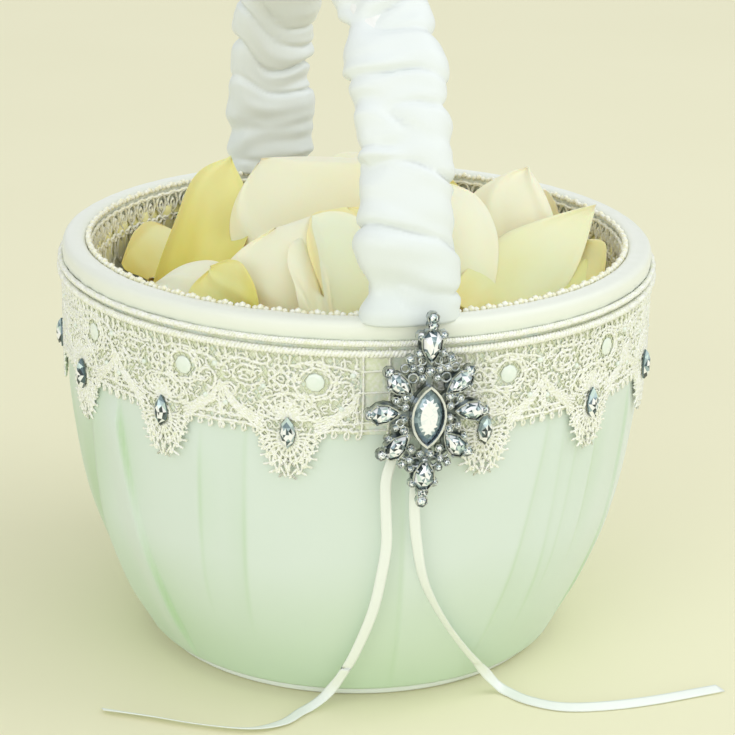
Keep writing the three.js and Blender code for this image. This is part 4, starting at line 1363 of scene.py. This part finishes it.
def make_petal_silk(shade):
    """Thin pressed polyester silk: matt, lets light through; its yellow deepens to its base as painted shade.
    """
    tip, middle, base = PETAL_PAINTED_TONES[shade]
    made, tree, shader = new_material(f"petal_silk_{shade}", {
        "Roughness": 0.62, "Sheen Weight": 0.3, "Sheen Roughness": 0.5, "Specular IOR Level": 0.3,
        "Subsurface Weight": 0.25, "Subsurface Scale": 0.004,
    })
    uv = add(tree, "ShaderNodeTexCoord")
    split = add(tree, "ShaderNodeSeparateXYZ", {}, {0: (uv, "UV")})
    cloud = add(tree, "ShaderNodeTexNoise", {"Scale": 3.0, "Detail": 2.0}, {"Vector": (uv, "UV")})
    # painted shade along the petal: deep yellow at its base, cream at its tip, blotched by noise
    along = add(tree, "ShaderNodeMath", {"operation": "MULTIPLY_ADD", 1: 0.35},
                {0: (cloud, "Fac"), 2: (split, "Y")})
    ramp = add(tree, "ShaderNodeValToRGB", {}, {"Fac": (along, 0)})
    ramp.color_ramp.elements[0].color = colour(base)
    ramp.color_ramp.elements[0].position = 0.12
    ramp.color_ramp.elements[1].color = colour(tip)
    ramp.color_ramp.elements[1].position = 0.95
    ramp.color_ramp.elements.new(0.50).color = colour(middle)
    tree.links.new(ramp.outputs["Color"], shader.inputs["Base Color"])
    # woven at 0.2 mm; drawn at about 0.5 mm so that it shows
    raise_by(tree, shader, (grain(tree, 110.0, 1.0, "UV"), "Fac"), 0.12, 0.0002)
    return made


POINTED = ("right_pointed", "right_curled", "left_tall", "back_right", "middle_left", "wall_right")


def petal_width(v, pointed):
    """The half width of the cut petal, from 0 to 1, at a share of its length."""
    low = 0.42 + 0.58 * math.sin(min(v / 0.66, 1) * math.pi / 2)
    past = max(v - 0.60, 0) / 0.40
    high = max(1 - past ** 1.5, 0) ** 0.95 if pointed else max(1 - past ** 2.8, 0) ** 0.62
    return low * max(high, 0.02)


def make_petal(layer, name, base, tip, facing, wide, cup, bend, curl, shade):
    base, tip = Vector(base), Vector(tip)
    length = (tip - base).length
    along = (tip - base).normalized()
    out = Vector(facing)
    out = (out - along * out.dot(along)).normalized()
    side = along.cross(out)
    pointed = name in POINTED
    room = HANDLE_ROOM + PETAL_GAP * min(layer, 6)
    bm = grid(PETAL_ACROSS, PETAL_ALONG)
    seed = sum(base)
    steps = 40
    spine = [(0.0, 0.0)]
    for i in range(steps):
        t = (i + 0.5) / steps
        a = math.radians(bend) * (t - 0.5) + math.radians(curl) * 0.6 * ease(0.8, 1.0, t)
        y, z = spine[-1]
        spine.append((y + length / steps * math.cos(a), z + length / steps * math.sin(a)))

    def place(u, v):
        y, z = smooth_route(spine, v)
        half = wide / 2 * petal_width(v, pointed)
        x = (2 * u - 1) * half
        turn_all = math.radians(cup)
        a = turn_all * x / wide
        if abs(turn_all) > 1e-3:
            radius = wide / turn_all
            across, lift = radius * math.sin(a), radius * (1 - math.cos(a))
        else:
            across, lift = x, 0.0
        rim = ease(0.72, 1.0, abs(2 * u - 1)) * petal_width(v, pointed)
        lift += math.sin(math.radians(curl) * 0.5) * 3.2 * rim
        ripple = noise.noise(Vector((u * 1.8 + seed, v * 2.0, seed * 0.3)))
        fold = 1 - min(abs(noise.noise(Vector((u * 1.5 + v * 0.7, seed, v * 0.6)))) * 6, 1)
        lift += 2.0 * ripple + 1.3 * fold + 1.2 * rim * noise.noise(Vector((seed, v * 5.0, u)))
        spot = base + along * y + side * across + out * (z + lift)
        radius = math.hypot(spot.x, spot.y)
        if radius > HEAP_RADIUS:
            spot.x *= HEAP_RADIUS / radius
            spot.y *= HEAP_RADIUS / radius
        left, right = UNDER_HANDLE
        under = ease(left - 4, left, spot.x) * (1 - ease(right, right + 4, spot.x))
        front, back = handle_room(spot.z, room)
        kept = min(max(spot.y, front), back)
        spot.y = lerp(spot.y, kept, under)
        spot.z = min(spot.z, HEAP_TOP)
        return spot

    shape(bm, place)
    made = piece(f"petal_{name}", bm, "petals", petal_silks[shade])
    thicken(made, PETAL_THICK, 0.0)
    soft = made.modifiers.new("smooth", "SUBSURF")
    soft.levels = soft.render_levels = 1
    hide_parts("petal_heap")


petal_silks = {shade: make_petal_silk(shade) for shade in PETAL_PAINTED_TONES}
for layer, petal in enumerate(PETALS):
    make_petal(layer, *petal)

# ---------------------------------------------------------------- floor and lights
# A plain pale table top, a bright even surround, one very broad soft lamp from the front right
# and five smaller fill lamps around the basket, as in a light tent.
SURROUND_TONE = "#F5F7FA"
SURROUND_STRENGTH = 0.715
KEY_FROM = Vector((0.22, -0.70, 1.0))
KEY_STRENGTH = 0.42
KEY_SPREAD = math.radians(85)
FILL_TONE = "#F2F7FF"
# each fill lamp: its place and width in metres, and its power
FILLS = [(Vector((-1.6, -1.4, 0.8)), 1.2, 8.5), (Vector((1.5, -1.7, 0.35)), 1.2, 3.0),
         (Vector((-0.5, -1.9, 0.3)), 0.9, 4.5), (Vector((1.1, -0.3, 1.2)), 1.0, 5.5),
         (Vector((0.4, 2.4, 0.8)), 1.4, 4.0)]


def make_floor():
    made, tree, shader = new_material("pale_table_paper", {"Roughness": 0.9, "Specular IOR Level": 0.2})
    tint_by(tree, shader, (grain(tree, 6.0, 2.0), "Fac"), "#F0ECC9", "#F3EFCD")
    bm = bmesh.new()
    bmesh.ops.create_grid(bm, x_segments=2, y_segments=2, size=12.0)
    mesh = bpy.data.meshes.new("floor")
    bm.to_mesh(mesh)
    bm.free()
    floor = bpy.data.objects.new("floor", mesh)
    floor.location.z = -0.0002
    mesh.materials.append(made)
    bpy.context.scene.collection.objects.link(floor)


def make_fill_lamp(place, size, power):
    data = bpy.data.lights.new("fill_lamp", "AREA")
    data.size = size
    data.energy = power
    data.color = colour(FILL_TONE)[:3]
    lamp = bpy.data.objects.new("fill_lamp", data)
    lamp.location = place
    toward = Vector((0, 0, 0.1)) - place
    lamp.rotation_euler = toward.to_track_quat("-Z", "Y").to_euler()
    bpy.context.scene.collection.objects.link(lamp)


make_floor()
key = bpy.data.lights.new("key_lamp", "SUN")
key.energy = KEY_STRENGTH
key.angle = KEY_SPREAD
key_lamp = bpy.data.objects.new("key_lamp", key)
key_lamp.rotation_euler = (-KEY_FROM).to_track_quat("-Z", "Y").to_euler()
bpy.context.scene.collection.objects.link(key_lamp)
for place, size, power in FILLS:
    make_fill_lamp(place, size, power)
surround = bpy.data.worlds.new("surround")
surround.use_nodes = True
backing = surround.node_tree.nodes["Background"]
backing.inputs["Color"].default_value = colour(SURROUND_TONE)
backing.inputs["Strength"].default_value = SURROUND_STRENGTH
bpy.context.scene.world = surround
bpy.context.scene.view_settings.view_transform = "Standard"
